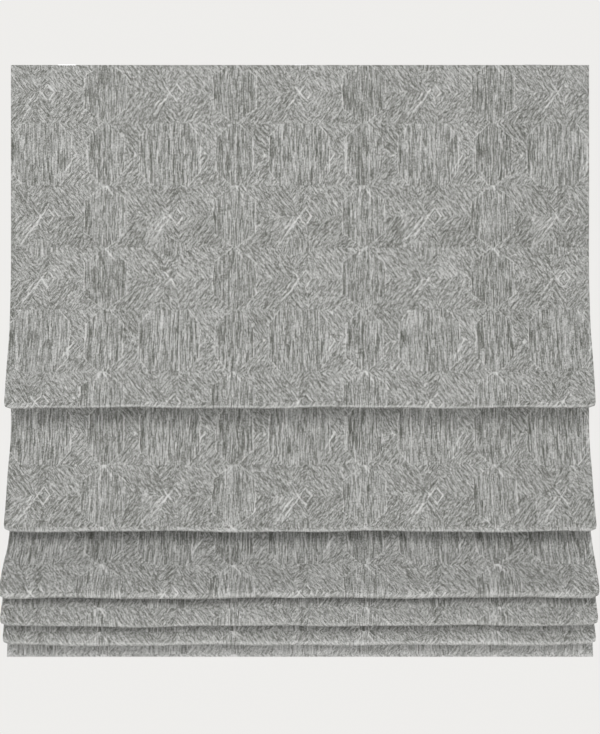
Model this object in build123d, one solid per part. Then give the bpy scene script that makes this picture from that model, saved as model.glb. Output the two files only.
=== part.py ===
from build123d import *
import os
from math import asin, atan2, cos, degrees, hypot, pi, sin

# Roman blind, partly raised, with cascading folds, for fixing up into the top of a window recess.
# Millimetres, +Z up. The room side faces -Y and +X is to the right as seen from the room.
# The origin is the centre of the top face of the middle bracket, which is screwed to the soffit.
# The cloth is drawn as a side profile: drop is measured down from the cloth's top edge, and
# forward is measured towards the room from the plane in which the flat cloth hangs.

# Overall sizes
blind_width = 1200.0
fold_length = 372.0

# Bottom line of each fold: how far it hangs below the one above, or below the top edge, and how
# far it stands forward. The top section has a spare length that goes back up behind its fold.
fold_steps = [707.3, 250.8, 128.9, 57.8, 43.4]
fold_forwards = [60.0, 64.0, 99.0, 90.0, 67.0]
top_section_spare = 68.7
hem_step = 31.8
hem_forward = 36.0
straight_drops = [395.0, 55.0, 3.0, 3.0, 3.0]
hang_radii = [700.0, 200.0, 150.0, 30.0, 30.0]
fold_radii = [9.0, 10.0, 13.0, 13.0, 11.0]
seam_radius = 1.2
hang_share = 0.97

# Cloth
face_thickness = 0.8
lining_thickness = 0.5
cloth_clearance = 0.3
lining_inset = 12.0
hem_depth = 34.0
cloth_edge_drop = 0.5
tape_edge_drop = 1.0
tape_height = 25.0
hook_tape_thickness = 1.1
loop_tape_thickness = 1.0
tape_clearance = 0.1
tape_inset = 8.0

# Headrail
rail_end_gap = 5.0
rail_depth = 36.0
rail_height = 38.0
rail_top = -2.5
rail_wall = 1.5
web_drop = 5.75
guide_spacing = 18.0
guide_height = 5.05
guide_lip = 3.5
guide_lip_thickness = 1.2
rail_lip = 5.0
rail_lip_turn = 1.2
end_plate_thickness = 3.0
end_plate_radius = 2.0
end_plate_chamfer = 0.8
plug_depth = 10.0
plug_wall = 1.8
plug_clearance = 0.15

# Brackets
bracket_length = 34.0
bracket_thickness = 1.5
bracket_bend_radius = 1.2
claw_thickness = 1.3
claw_reach = 2.0
claw_clearance = 0.1
claw_side_clearance = 0.5
claw_lead = 0.7
bracket_inset = 110.0
screw_spacing = 20.0
screw_hole_radius = 2.4

# Lift mechanism
shaft_drop = 22.5
shaft_flats = 6.0
shaft_end_radius = 2.5
shaft_end_length = 11.0
running_clearance = 0.05
fit_clearance = 0.08
cord_radius = 0.6
outer_cord_inset = 70.0
inner_cord_spacing = 360.0
winding_radius = 10.0
winding_clearance = 0.3
spool_flange_rise = 3.0
spool_flange_thickness = 2.0
spool_outer_flange_rise = 2.2
spool_outer_flange_thickness = 1.6
spool_cone_rise = 1.6
spool_cone_length = 4.0
spool_notch = 2.4
spool_drum_length = 38.0
spool_journal_radius = 5.5
spool_journal_length = 4.0
winding_length = 27.0
cradle_wall = 2.6
cradle_margin = 4.5
cradle_base_thickness = 2.2
cradle_rail = 3.2
cradle_slot = 9.4
cradle_side_clearance = 0.2
cradle_clip_length = 8.0
cradle_clip_drop = 2.8
cradle_clip_barb = 1.6
cradle_clip_root = 0.5
cradle_gusset_height = 9.0
cradle_gusset_thickness = 1.6
cord_eye_radius = 1.4
cord_eye_wall = 1.6
motor_length = 236.0
motor_width = 26.0
motor_height = 25.0
motor_corner = 4.0
motor_foot_thickness = 1.5
motor_bore_radius = 4.4
motor_band_length = 6.0
motor_band_rise = 0.8
motor_groove_width = 1.0
motor_groove_depth = 0.6
motor_pack_length = 150.0
collar_radius = 8.0
collar_length = 9.0
collar_gap = 0.6
collar_chamfer = 0.8
button_radius = 3.0
button_clearance = 0.3
button_well_depth = 4.0
button_length = 2.6
button_proud = 0.8
button_chamfer = 0.4
button_place = 92.0
port_length = 12.0
port_width = 6.0
port_depth = 3.0
port_proud = 0.5
port_chamfer = 0.4
port_place = 74.0

# Rods, pockets, rings and the bottom bar
rod_radius = 2.0
rod_end_gap = 10.0
rod_above_seam = 4.5
pocket_thickness = 0.6
pocket_clearance = 0.3
pocket_end_inset = 14.0
pocket_tail_thickness = 0.9
rod_cap_length = 7.0
rod_cap_wall = 0.9
rod_cap_floor = 1.5
ring_clip_wall = 1.2
ring_clip_clearance = 0.1
ring_mouth = 1.8
ring_hole_radius = 2.0
ring_eye_wall = 1.5
ring_eye_gap = 0.1
ring_height = 5.0
ring_root = 0.3
lock_radius = 4.0
lock_neck_radius = 2.6
lock_length = 15.0
lock_bore_clearance = 0.3
lock_bore_spare = 0.5
lock_cord_depth = 9.0
bar_height = 22.0
bar_thickness = 3.0
bar_edge_radius = 1.2
bar_end_gap = 5.0
bar_cap_thickness = 2.0
bar_cap_rim = 0.2

# Sizes and places worked out from the ones above
fold_count = len(fold_steps)
fold_drops = [sum(fold_steps[:number + 1]) for number in range(fold_count)]
hem_drop = fold_drops[-1] + hem_step
top_section_length = fold_drops[0] + top_section_spare
rail_width = blind_width - 2 * rail_end_gap
rod_length = blind_width - 2 * rod_end_gap
bar_length = blind_width - 2 * (bar_end_gap + bar_cap_thickness)
rail_half_depth = rail_depth / 2
rail_bottom = rail_top - rail_height
web_top = rail_top - web_drop
web_bottom = web_top - rail_wall
shaft_z = rail_top - shaft_drop
lip_top = rail_bottom + rail_wall
cloth_top = rail_top - cloth_edge_drop
tape_top = cloth_top - tape_edge_drop
loop_back = rail_half_depth + hook_tape_thickness + tape_clearance
lining_back = loop_back + loop_tape_thickness + cloth_clearance
lining_front = lining_back + lining_thickness
face_back = lining_front + cloth_clearance
face_front = face_back + face_thickness
cord_y = -winding_radius
drum_radius = winding_radius - cord_radius - winding_clearance
pocket_inner_radius = rod_radius + pocket_clearance
pocket_outer_radius = pocket_inner_radius + pocket_thickness
ring_clip_inner_radius = pocket_outer_radius + ring_clip_clearance
ring_clip_outer_radius = ring_clip_inner_radius + ring_clip_wall
ring_eye_radius = ring_hole_radius + ring_eye_wall
rod_y = cord_y - ring_eye_radius - ring_eye_gap - ring_clip_inner_radius
rod_behind_seam = rod_y + face_front + seam_radius
outer_cord_x = blind_width / 2 - outer_cord_inset
cord_places = [-outer_cord_x, -inner_cord_spacing / 2, inner_cord_spacing / 2, outer_cord_x]
bracket_places = [-(rail_width / 2 - bracket_inset), 0.0, rail_width / 2 - bracket_inset]


def write(node, shape):
    """Write one piece to its own file in parts."""
    export_step(Compound(children=list(shape)) if isinstance(shape, list) else shape, f"parts/{node}.step")


def block(x0, x1, y0, y1, z0, z1):
    """A box between two corners."""
    return Pos((x0 + x1) / 2, (y0 + y1) / 2, (z0 + z1) / 2) * Box(x1 - x0, y1 - y0, z1 - z0)


def patch(y0, y1, z0, z1):
    """A rectangle in a side profile."""
    return Pos((y0 + y1) / 2, (z0 + z1) / 2) * Rectangle(abs(y1 - y0), abs(z1 - z0))


def along_x(profile, length, centre=0.0):
    """Extrude a side profile along the blind's width, centred on a place."""
    return extrude(Plane.YZ.offset(centre) * profile, amount=length / 2, both=True)


def rod_x(radius, length, centre, y, z):
    """A round bar along the blind's width."""
    return Pos(centre, y, z) * Rot(0, 90, 0) * Cylinder(radius, length)


def rod_z(radius, z0, z1, x, y):
    """An upright round bar."""
    return Pos(x, y, (z0 + z1) / 2) * Cylinder(radius, z1 - z0)


# The cloth's side profile. The outer face of the cloth runs like a belt over circles: it bends
# forward over a wide hang circle, turns under a fold circle and turns over a seam circle.
# Each circle is its forward place, its drop, its radius and its turn. The turn is 1 where the
# cloth turns forward over the circle (hang and seam) and -1 where it turns back under it (fold).


def leave_angle(first, second):
    """Direction of the straight cloth between two circles, as an angle in the profile."""
    forward = second[0] - first[0]
    up = first[1] - second[1]
    reach = hypot(forward, up)
    return atan2(up, forward) - asin((second[3] * second[2] - first[3] * first[2]) / reach)


def touch_point(circle, angle):
    """Where cloth running at an angle touches a circle, as forward and drop."""
    side = circle[3] * circle[2]
    return (circle[0] + side * sin(angle), circle[1] + side * cos(angle))


def wrap(circle, first, second):
    """Angle of cloth wrapped on a circle between two directions."""
    turned = (second - first) * circle[3]
    return turned % (2 * pi)


def belt_length(circles):
    """Length of the outer face from the first circle's leaving point to the last one's touching point."""
    total = 0.0
    angles = [leave_angle(a, b) for a, b in zip(circles, circles[1:])]
    for index, angle in enumerate(angles):
        start = touch_point(circles[index], angle)
        end = touch_point(circles[index + 1], angle)
        total += hypot(end[0] - start[0], end[1] - start[1])
        if index:
            total += circles[index][2] * wrap(circles[index], angles[index - 1], angle)
    return total


def fold_circle(number):
    """The tight circle inside a fold's bottom line."""
    radius = fold_radii[number]
    return (fold_forwards[number] - radius, fold_drops[number] - radius, radius, -1)


def hang_circle(above, number):
    """The wide circle that bends the cloth forward, no wider than the fold below it lets it be."""
    fold = fold_circle(number)
    start = above + straight_drops[number]
    down = fold[1] - start
    widest = (down ** 2 + fold[0] ** 2 - fold[2] ** 2) / (2 * (fold[0] + fold[2]))
    radius = min(hang_radii[number], hang_share * widest)
    return (radius, start, radius, 1)


def seam_circle(drop):
    """The circle under a rod's seam, where the cloth turns down again."""
    return (seam_radius, drop, seam_radius, 1)


def place_seams():
    """Drops of the rod seams, each a full fold length of cloth after the one before."""
    seams = []
    first = (0.0, 0.0, 0.0, 1)
    for number in range(fold_count):
        lead = [first if number == 0 else seam_circle(seams[-1])]
        wanted = top_section_length if number == 0 else fold_length
        top = lead[0][1]
        bend = hang_circle(top, number)
        low, high = top + 2 * rod_radius, fold_drops[number] - 2 * fold_radii[number]
        for step in range(60):
            middle = (low + high) / 2
            route = lead + [bend, fold_circle(number), seam_circle(middle)]
            if belt_length(route) > wanted:
                low = middle
            else:
                high = middle
        seams.append(low)
    return seams


seam_drops = place_seams()
hem_inner_radius = bar_thickness / 2 + cloth_clearance
hem_radius = hem_inner_radius + face_thickness
hem_circle = (hem_forward - hem_radius, hem_drop - hem_radius, hem_radius, -1)


def cloth_circles():
    """All the circles of the outer face, from the top edge to the hem."""
    circles = [(0.0, 0.0, 0.0, 1)]
    for number in range(fold_count):
        circles.append(hang_circle(circles[-1][1], number))
        circles.append(fold_circle(number))
        circles.append(seam_circle(seam_drops[number]))
    circles.append(hem_circle)
    return circles


outer_circles = cloth_circles()
hem_angle = leave_angle(outer_circles[-2], outer_circles[-1])


def behind(circle, distance):
    """The same circle for a surface a distance behind the outer face."""
    return (circle[0], circle[1], circle[2] + circle[3] * distance, circle[3])


def to_profile(point):
    """Forward and drop as Y and Z."""
    return (-face_front - point[0], cloth_top - point[1])


def surface_edges(distance, last, end_point):
    """Lines and arcs of the cloth surface a distance behind the outer face, ending after a circle."""
    circles = [(-distance, 0.0, 0.0, 1)] + [behind(c, distance) for c in outer_circles[1:last + 1]]
    angles = [leave_angle(a, b) for a, b in zip(circles, circles[1:])]
    angles.append(leave_angle(circles[-1], (*end_point, 0.0, 1)))
    edges = []
    for index in range(len(circles)):
        if index:
            circle = circles[index]
            turn = circle[3] * wrap(circle, angles[index - 1], angles[index])
            arc = [touch_point(circle, angles[index - 1] + turn * share) for share in (0, 0.5, 1)]
            edges.append(ThreePointArc(*[to_profile(p) for p in arc]))
        start = touch_point(circles[index], angles[index])
        last_circle = index == len(circles) - 1
        end = end_point if last_circle else touch_point(circles[index + 1], angles[index])
        edges.append(Line(to_profile(start), to_profile(end)))
    return edges


def cloth_between(front, back, last, front_end, back_end):
    """A closed cloth profile between two distances behind the outer face."""
    first = surface_edges(front, last, front_end)
    second = surface_edges(back, last, back_end)
    caps = [Line(first[0] @ 0, second[0] @ 0), Line(first[-1] @ 1, second[-1] @ 1)]
    return make_face(first + second + caps)


def skirt_point(distance, height):
    """A point of the skirt a distance behind the outer face and a height above the hem circle."""
    down = (cos(hem_angle), -sin(hem_angle))
    back = (-down[1], down[0])
    side = distance - hem_circle[2]
    return (
        hem_circle[0] + back[0] * side - down[0] * height,
        hem_circle[1] + back[1] * side - down[1] * height,
    )


def face_fabric():
    """The patterned cloth, with its hem turned up behind the bottom bar."""
    turned_up = hem_depth - hem_radius
    front_end = skirt_point(2 * hem_radius, turned_up)
    back_end = skirt_point(2 * hem_radius - face_thickness, turned_up)
    last = len(outer_circles) - 1
    return along_x(cloth_between(0.0, face_thickness, last, front_end, back_end), blind_width)


def lining():
    """The plain cloth behind the face fabric, down to just above the turned-up hem."""
    front = face_thickness + cloth_clearance
    back = front + lining_thickness
    end = hem_depth + 2 * cloth_clearance
    profile = cloth_between(
        front, back, len(outer_circles) - 2, skirt_point(front, end), skirt_point(back, end)
    )
    return along_x(profile, blind_width - 2 * lining_inset)


def hook_tape():
    """Hook tape stuck to the headrail's front."""
    y0 = -rail_half_depth - hook_tape_thickness
    half = rail_width / 2 - tape_inset
    return block(-half, half, y0, -rail_half_depth, tape_top - tape_height, tape_top)


def loop_tape():
    """Loop tape sewn along the top of the lining."""
    half = rail_width / 2 - tape_inset
    y0 = -loop_back - loop_tape_thickness
    return block(-half, half, y0, -loop_back, tape_top - tape_height, tape_top)


def headrail():
    """Aluminium channel, open below, with two guides on its web for the bracket claws."""
    half = rail_half_depth
    walls = patch(-half, -half + rail_wall, rail_bottom, rail_top)
    walls += patch(half - rail_wall, half, rail_bottom, rail_top)
    walls += patch(-half, half, web_bottom, web_top)
    for side in (-1, 1):
        inner = side * guide_spacing / 2
        outer = side * (guide_spacing / 2 + guide_lip)
        guide_top = web_top + guide_height
        walls += patch(inner, inner + side * guide_lip_thickness, web_top, guide_top)
        walls += patch(inner, outer, guide_top - guide_lip_thickness, guide_top)
        tip = side * (half - rail_lip - rail_wall)
        walls += patch(side * half, tip, rail_bottom, lip_top)
        walls += patch(tip, tip + side * rail_lip_turn, rail_bottom, lip_top + rail_lip_turn)
    return along_x(walls, rail_width - 2 * end_plate_thickness)


def end_cap(side):
    """Moulded cap with a plug inside the channel and a bush for the shaft's end."""
    inner_face = side * (rail_width / 2 - end_plate_thickness)
    outer_face = side * rail_width / 2
    middle = (inner_face + outer_face) / 2
    outline = Pos(0, (rail_top + rail_bottom) / 2) * RectangleRounded(
        rail_depth, rail_height, end_plate_radius
    )
    cap = along_x(outline, end_plate_thickness, middle)
    cap = chamfer(cap.faces().sort_by(Axis.X)[-1 if side > 0 else 0].edges(), end_plate_chamfer)
    half = rail_half_depth - rail_wall - plug_clearance
    low = lip_top + rail_lip_turn + plug_clearance
    high = web_bottom - plug_clearance
    ring = patch(-half, half, low, high) - patch(
        -half + plug_wall, half - plug_wall, low + plug_wall, high - plug_wall
    )
    plug_middle = inner_face - side * plug_depth / 2
    cap += along_x(ring, plug_depth, plug_middle)
    cap += rod_x(shaft_end_radius + 2 * plug_wall, plug_depth, plug_middle, 0, shaft_z)
    for y0, y1 in ((-half, -shaft_end_radius), (shaft_end_radius, half)):
        cap += along_x(patch(y0, y1, shaft_z - plug_wall / 2, shaft_z + plug_wall / 2), plug_depth, plug_middle)
    bore = rod_x(shaft_end_radius + running_clearance, plug_depth, plug_middle, 0, shaft_z)
    return cap - bore


def bracket(place):
    """Folded clip: a screwed plate whose two claws hook under the headrail's guides."""
    lip_under = web_top + guide_height - guide_lip_thickness
    lip_edge = guide_spacing / 2 + guide_lip
    claw_inner = lip_edge + claw_side_clearance
    hook_top = lip_under - claw_clearance
    hook_bottom = hook_top - claw_thickness
    outer = claw_inner + bracket_thickness
    profile = patch(-outer, outer, -bracket_thickness, 0)
    for side in (-1, 1):
        tip = side * (lip_edge - claw_reach)
        profile += patch(side * claw_inner, side * outer, hook_bottom, 0)
        profile += patch(tip, side * outer, hook_bottom, hook_top)
        lead = Polyline(
            (tip, hook_bottom), (tip + side * claw_lead, hook_bottom), (tip, hook_bottom + claw_lead), close=True
        )
        profile -= make_face(lead)
    corners = profile.vertices().filter_by(lambda v: abs(v.Y) < 0.01)
    clip = along_x(fillet(corners, bracket_bend_radius), bracket_length, place)
    for side in (-1, 1):
        x = place + side * screw_spacing / 2
        clip -= rod_z(screw_hole_radius, -bracket_thickness, 0, x, 0)
    return clip


def spool_start(place):
    """X of the spool's wide end, so that its cord leaves the foot of the cone at a cord place."""
    return place - cord_radius - winding_clearance - spool_cone_length - spool_flange_thickness


def spool_drum_end(place):
    """X where the drum ends at the small flange."""
    return spool_start(place) + spool_flange_thickness + spool_cone_length + spool_drum_length


def shaft_profile(clearance):
    """Hexagon of the shaft, or of the hole that it drives."""
    return RegularPolygon(shaft_flats / 2 + clearance, 6, major_radius=False)


def spool(place):
    """Cord spool: flange, cone, drum, small flange with a cord notch, and a journal at each end."""
    x0 = spool_start(place)
    x1 = x0 + spool_flange_thickness
    x2 = x1 + spool_cone_length
    x3 = spool_drum_end(place)
    x4 = x3 + spool_outer_flange_thickness
    flange = winding_radius + spool_flange_rise
    outer_flange = winding_radius + spool_outer_flange_rise
    outline = Polyline(
        (x0 - spool_journal_length, 0),
        (x0 - spool_journal_length, spool_journal_radius),
        (x0, spool_journal_radius),
        (x0, flange),
        (x1, flange),
        (x1, winding_radius + spool_cone_rise),
        (x2, drum_radius),
        (x3, drum_radius),
        (x3, outer_flange),
        (x4, outer_flange),
        (x4, spool_journal_radius),
        (x4 + spool_journal_length, spool_journal_radius),
        (x4 + spool_journal_length, 0),
        close=True,
    )
    turned = revolve(make_face(outline), Axis.X)
    middle = (x0 + x4) / 2
    hole = along_x(shaft_profile(fit_clearance), x4 - x0 + 4 * spool_journal_length, middle)
    half = spool_notch / 2
    notch = block(x3, x4, -half, half, winding_radius, outer_flange)
    return Pos(0, 0, shaft_z) * (turned - hole - notch)


def cord_pack(place):
    """The turns of cord wound on a drum, as one sleeve."""
    start = place + cord_radius + winding_clearance
    middle = start + winding_length / 2
    sleeve = rod_x(winding_radius + cord_radius, winding_length, middle, 0, shaft_z)
    return sleeve - rod_x(drum_radius, winding_length, middle, 0, shaft_z)


def cradle(place):
    """Moulded frame on the headrail's lips, with a snap bearing at each end of the spool."""
    x0 = spool_start(place) - spool_journal_length
    x1 = spool_drum_end(place) + spool_outer_flange_thickness + spool_journal_length
    wall_gap = (spool_journal_length - cradle_wall) / 2
    start, end = x0 - cradle_margin, x1 + cradle_margin
    half = rail_half_depth - rail_wall - cradle_side_clearance
    floor_z = lip_top + rail_lip_turn
    base_top = floor_z + cradle_base_thickness
    window = half - cradle_rail
    frame = block(start, end, -half, half, floor_z, base_top)
    inner_start = x0 + wall_gap + cradle_wall
    inner_end = x1 - wall_gap - cradle_wall
    walls = ((inner_start - cradle_wall / 2, -1), (inner_end + cradle_wall / 2, 1))
    frame -= block(inner_start, inner_end, -window, window, floor_z, base_top)
    for side in (-1, 1):
        lip_inner = rail_half_depth - rail_wall - rail_lip + rail_lip_turn
        runner = side * (lip_inner + cradle_side_clearance)
        frame += block(start, end, *sorted((runner, side * half)), lip_top, floor_z)
    for wall_middle, away in walls:
        outer = spool_journal_radius + 2 * cradle_wall
        wall = Pos(0, shaft_z) * Circle(outer) + patch(-outer, outer, floor_z, shaft_z)
        wall -= Pos(0, shaft_z) * Circle(spool_journal_radius + running_clearance)
        wall -= patch(-cradle_slot / 2, cradle_slot / 2, shaft_z, shaft_z + outer)
        frame += along_x(wall, cradle_wall, wall_middle)
        for side in (-1, 1):
            frame += gusset(wall_middle + away * cradle_wall / 2, away, side * outer, base_top)
    tongue = cord_eye_radius + cord_eye_wall
    frame += block(place - tongue, place + tongue, -window, cord_y + tongue, floor_z, floor_z + cord_eye_wall)
    frame -= rod_z(cord_eye_radius, floor_z, base_top, place, cord_y)
    for clip_x in (start + cradle_clip_length / 2, end - cradle_clip_length / 2):
        for side in (-1, 1):
            frame += cradle_clip(clip_x, side, floor_z)
    return frame


def gusset(wall_face, away, outer, base_top):
    """A triangular rib that braces a bearing wall's outer corner on the base."""
    foot = away * (spool_journal_length - cradle_wall) / 2 + away * cradle_margin
    rib = Polyline(
        (wall_face, base_top),
        (wall_face + foot, base_top),
        (wall_face, base_top + cradle_gusset_height),
        close=True,
    )
    inner = outer - cradle_gusset_thickness if outer > 0 else outer
    return extrude(Plane.XZ.offset(-inner) * make_face(rib), -cradle_gusset_thickness)


def cradle_clip(clip_x, side, floor_z):
    """A leg that goes down past a lip's turned edge and hooks under it."""
    edge = rail_half_depth - rail_wall - rail_lip - cradle_side_clearance
    leg_outer, leg_inner = side * edge, side * (edge - cradle_clip_barb)
    bottom = rail_bottom - cradle_clip_drop
    barb_tip = side * (edge + cradle_clip_barb)
    half = cradle_clip_length / 2 - cradle_clip_root
    leg_top = floor_z + cradle_clip_root
    leg = block(clip_x - half, clip_x + half, *sorted((leg_outer, leg_inner)), bottom, leg_top)
    barb = Polyline(
        (leg_outer, rail_bottom - fit_clearance),
        (barb_tip, rail_bottom - fit_clearance),
        (leg_outer, bottom),
        close=True,
    )
    return leg + along_x(make_face(barb), 2 * half, clip_x)


def drive_shaft():
    """Hexagonal shaft with a round journal turned at each end."""
    journal_start = rail_width / 2 - end_plate_thickness - shaft_end_length
    shaft = along_x(Pos(0, shaft_z) * shaft_profile(0.0), 2 * (journal_start - fit_clearance))
    for side in (-1, 1):
        start, end = journal_start - fit_clearance, journal_start + shaft_end_length - fit_clearance
        shaft += rod_x(shaft_end_radius, end - start, side * (start + end) / 2, 0, shaft_z)
    return shaft


def drive_collar(side):
    """Collar that the motor turns, keyed on the shaft."""
    middle = side * (motor_length / 2 + collar_gap + collar_length / 2)
    body = rod_x(collar_radius, collar_length, middle, 0, shaft_z)
    body = chamfer(body.edges().filter_by(GeomType.CIRCLE), collar_chamfer)
    return body - along_x(Pos(0, shaft_z) * shaft_profile(fit_clearance), collar_length, middle)


def motor_housing():
    """Motor and battery in one moulded case on the headrail's lips, with the shaft through it."""
    floor_z = lip_top + rail_lip_turn
    top = floor_z + motor_height
    centre = Pos(0, (floor_z + top) / 2)
    outline = centre * RectangleRounded(motor_width, motor_height, motor_corner)
    case = along_x(outline, motor_length)
    band = along_x(centre * RectangleRounded(
        motor_width + 2 * motor_band_rise, motor_height, motor_corner), motor_band_length)
    for side in (-1, 1):
        case += Pos(side * (motor_length - motor_band_length) / 2, 0, 0) * band
    groove = outline - centre * RectangleRounded(
        motor_width - 2 * motor_groove_depth, motor_height - 2 * motor_groove_depth, motor_corner)
    case -= along_x(groove, motor_groove_width, motor_length / 2 - motor_pack_length)
    foot = rail_half_depth - rail_wall - cradle_side_clearance
    feet = patch(-foot, foot, floor_z, floor_z + motor_foot_thickness)
    for side in (-1, 1):
        lip_inner = rail_half_depth - rail_wall - rail_lip + rail_lip_turn + cradle_side_clearance
        feet += patch(side * lip_inner, side * foot, lip_top, floor_z)
    for side in (-1, 1):
        case += along_x(feet, motor_length / 6, side * motor_length * 5 / 12)
    case -= rod_x(motor_bore_radius, motor_length, 0, 0, shaft_z)
    well = floor_z + button_well_depth
    case -= rod_z(button_radius + button_clearance, floor_z, well, button_place, 0)
    return case - port_shape(floor_z, port_depth)


def port_shape(low, height):
    """Rounded slot of the charging port's seat and of its cover."""
    return Pos(port_place, 0, low) * extrude(SlotOverall(port_length, port_width), height)


def port_cover():
    """Soft cover pressed into the charging port's seat, with its lower edge rounded."""
    floor_z = lip_top + rail_lip_turn
    cover = port_shape(floor_z - port_proud, port_depth + port_proud)
    return chamfer(cover.edges().group_by(Axis.Z)[0], port_chamfer)


def set_button():
    """Push button under the motor case."""
    floor_z = lip_top + rail_lip_turn
    low = floor_z - button_proud
    button = rod_z(button_radius, low, low + button_length, button_place, 0)
    return chamfer(button.edges().group_by(Axis.Z)[0], button_chamfer)


def rod_place(number):
    """Y and Z of a rod's centre, behind and above its seam."""
    return rod_y, cloth_top - seam_drops[number] + rod_above_seam


def tail_angle():
    """Direction from a rod's centre to the middle of its seam, in degrees in the profile."""
    return degrees(atan2(-rod_above_seam, -rod_behind_seam))


def rod(number):
    """Stiff round rod."""
    y, z = rod_place(number)
    return rod_x(rod_radius, rod_length, 0, y, z)


def rod_caps(number):
    """Plug-on caps at a rod's two ends."""
    y, z = rod_place(number)
    caps = []
    for side in (-1, 1):
        outer_end = rod_length / 2 + rod_cap_floor
        middle = side * (outer_end - rod_cap_length / 2)
        cap = rod_x(rod_radius + rod_cap_wall, rod_cap_length, middle, y, z)
        caps.append(cap - rod_x(rod_radius, rod_length, 0, y, z))
    return caps


def pocket(number):
    """Cloth tube around a rod, with a tail that is sewn to the seam."""
    y, z = rod_place(number)
    seam_reach = hypot(rod_behind_seam, rod_above_seam)
    lining_reach = seam_radius + face_thickness + cloth_clearance + lining_thickness
    tail_end = seam_reach - lining_reach - cloth_clearance
    tail_start = (pocket_inner_radius + pocket_outer_radius) / 2
    tail = Pos((tail_start + tail_end) / 2, 0) * Rectangle(tail_end - tail_start, pocket_tail_thickness)
    profile = Circle(pocket_outer_radius) + Rot(0, 0, tail_angle()) * tail - Circle(pocket_inner_radius)
    length = rod_length - 2 * pocket_end_inset
    return along_x(Pos(y, z) * profile, length)


def cord_rings(number):
    """Moulded cord rings, each clipped round a rod's pocket with its mouth over the seam."""
    y, z = rod_place(number)
    inner, outer = ring_clip_inner_radius, ring_clip_outer_radius
    mouth = Rot(0, 0, tail_angle()) * (Pos(outer, 0) * Rectangle(2 * outer, ring_mouth))
    clip = along_x(Pos(y, z) * (Circle(outer) - Circle(inner) - mouth), 2 * ring_eye_radius)
    low, high = z - ring_height / 2, z + ring_height / 2
    neck = block(-ring_eye_radius, ring_eye_radius, y + inner + ring_root, cord_y, low, high)
    eye = rod_z(ring_eye_radius, low, high, 0, cord_y) + neck
    ring = clip + eye - rod_z(ring_hole_radius, low, high, 0, cord_y)
    rings = []
    for place in cord_places:
        rings.append(Pos(place, 0, 0) * ring)
    return rings


def cord_locks():
    """Barrel locks under the lowest rings, which hold the ends of the cords."""
    z = rod_place(fold_count - 1)[1] - ring_height / 2
    locks = []
    outline = Polyline(
        (0, 0),
        (lock_neck_radius, 0),
        (lock_radius, -lock_length * 0.3),
        (lock_radius, -lock_length * 0.8),
        (lock_neck_radius, -lock_length),
        (0, -lock_length),
        close=True,
    )
    barrel = revolve(Plane.XZ * make_face(outline), Axis.Z)
    barrel -= rod_z(cord_radius + lock_bore_clearance, -lock_cord_depth - lock_bore_spare, 0, 0, 0)
    for place in cord_places:
        locks.append(Pos(place, cord_y, z) * barrel)
    return locks


def lift_cord(place):
    """One cord, from where it leaves its drum straight down through the rings into its lock."""
    end = rod_place(fold_count - 1)[1] - ring_height / 2 - lock_cord_depth
    return rod_z(cord_radius, end, shaft_z, place, cord_y)


def in_skirt(profile, height):
    """Move a profile drawn about the bar's centre into the hem at a height above its fold."""
    centre = to_profile(skirt_point(hem_radius, height))
    tilt = degrees(hem_angle) + 90
    return Pos(*centre) * Rot(0, 0, -tilt) * profile


def bottom_bar():
    """Flat metal bar in the hem."""
    section = RectangleRounded(bar_thickness, bar_height, bar_edge_radius)
    return along_x(in_skirt(section, bar_height / 2), bar_length)


def bar_cap(side):
    """Thin moulded cap over an end of the bottom bar."""
    rim = RectangleRounded(bar_thickness + bar_cap_rim, bar_height + bar_cap_rim, bar_edge_radius)
    middle = side * (bar_length / 2 + bar_cap_thickness / 2)
    return along_x(in_skirt(rim, bar_height / 2), bar_cap_thickness, middle)


def build():
    """Build every piece and write it."""
    os.makedirs("parts", exist_ok=True)
    pieces = {
        "headrail": headrail(),
        "end_cap_left": end_cap(-1),
        "end_cap_right": end_cap(1),
        "hook_tape": hook_tape(),
        "loop_tape": loop_tape(),
        "face_fabric": face_fabric(),
        "lining": lining(),
        "motor_housing": motor_housing(),
        "set_button": set_button(),
        "port_cover": port_cover(),
        "drive_shaft": drive_shaft(),
        "drive_collar_left": drive_collar(-1),
        "drive_collar_right": drive_collar(1),
        "bottom_bar": bottom_bar(),
        "bar_cap_left": bar_cap(-1),
        "bar_cap_right": bar_cap(1),
        "cord_locks": cord_locks(),
    }
    for name, place in zip(("left", "middle", "right"), bracket_places):
        pieces[f"bracket_{name}"] = bracket(place)
    for number, place in enumerate(cord_places, 1):
        pieces[f"spool_{number}"] = spool(place)
        pieces[f"cord_pack_{number}"] = cord_pack(place)
        pieces[f"cradle_{number}"] = cradle(place)
        pieces[f"lift_cord_{number}"] = lift_cord(place)
    for number in range(fold_count):
        pieces[f"rod_{number + 1}"] = rod(number)
        pieces[f"rod_caps_{number + 1}"] = rod_caps(number)
        pieces[f"pocket_{number + 1}"] = pocket(number)
        pieces[f"cord_rings_{number + 1}"] = cord_rings(number)
    for node, shape in pieces.items():
        write(node, shape)
    print("seam drops", [round(d, 1) for d in seam_drops])
    skirt = belt_length(outer_circles[-2:])
    print("cloth length", round(top_section_length + (fold_count - 1) * fold_length + skirt, 1))
    print("skirt length", round(skirt, 1), "hem tilt", round(degrees(hem_angle), 2))
    print("rod places", [tuple(round(v, 2) for v in rod_place(n)) for n in range(fold_count)])


build()
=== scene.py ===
import logging
from dataclasses import dataclass, field
from enum import Enum
from math import asin, atan2, ceil, cos, hypot, pi, radians, sin

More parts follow.
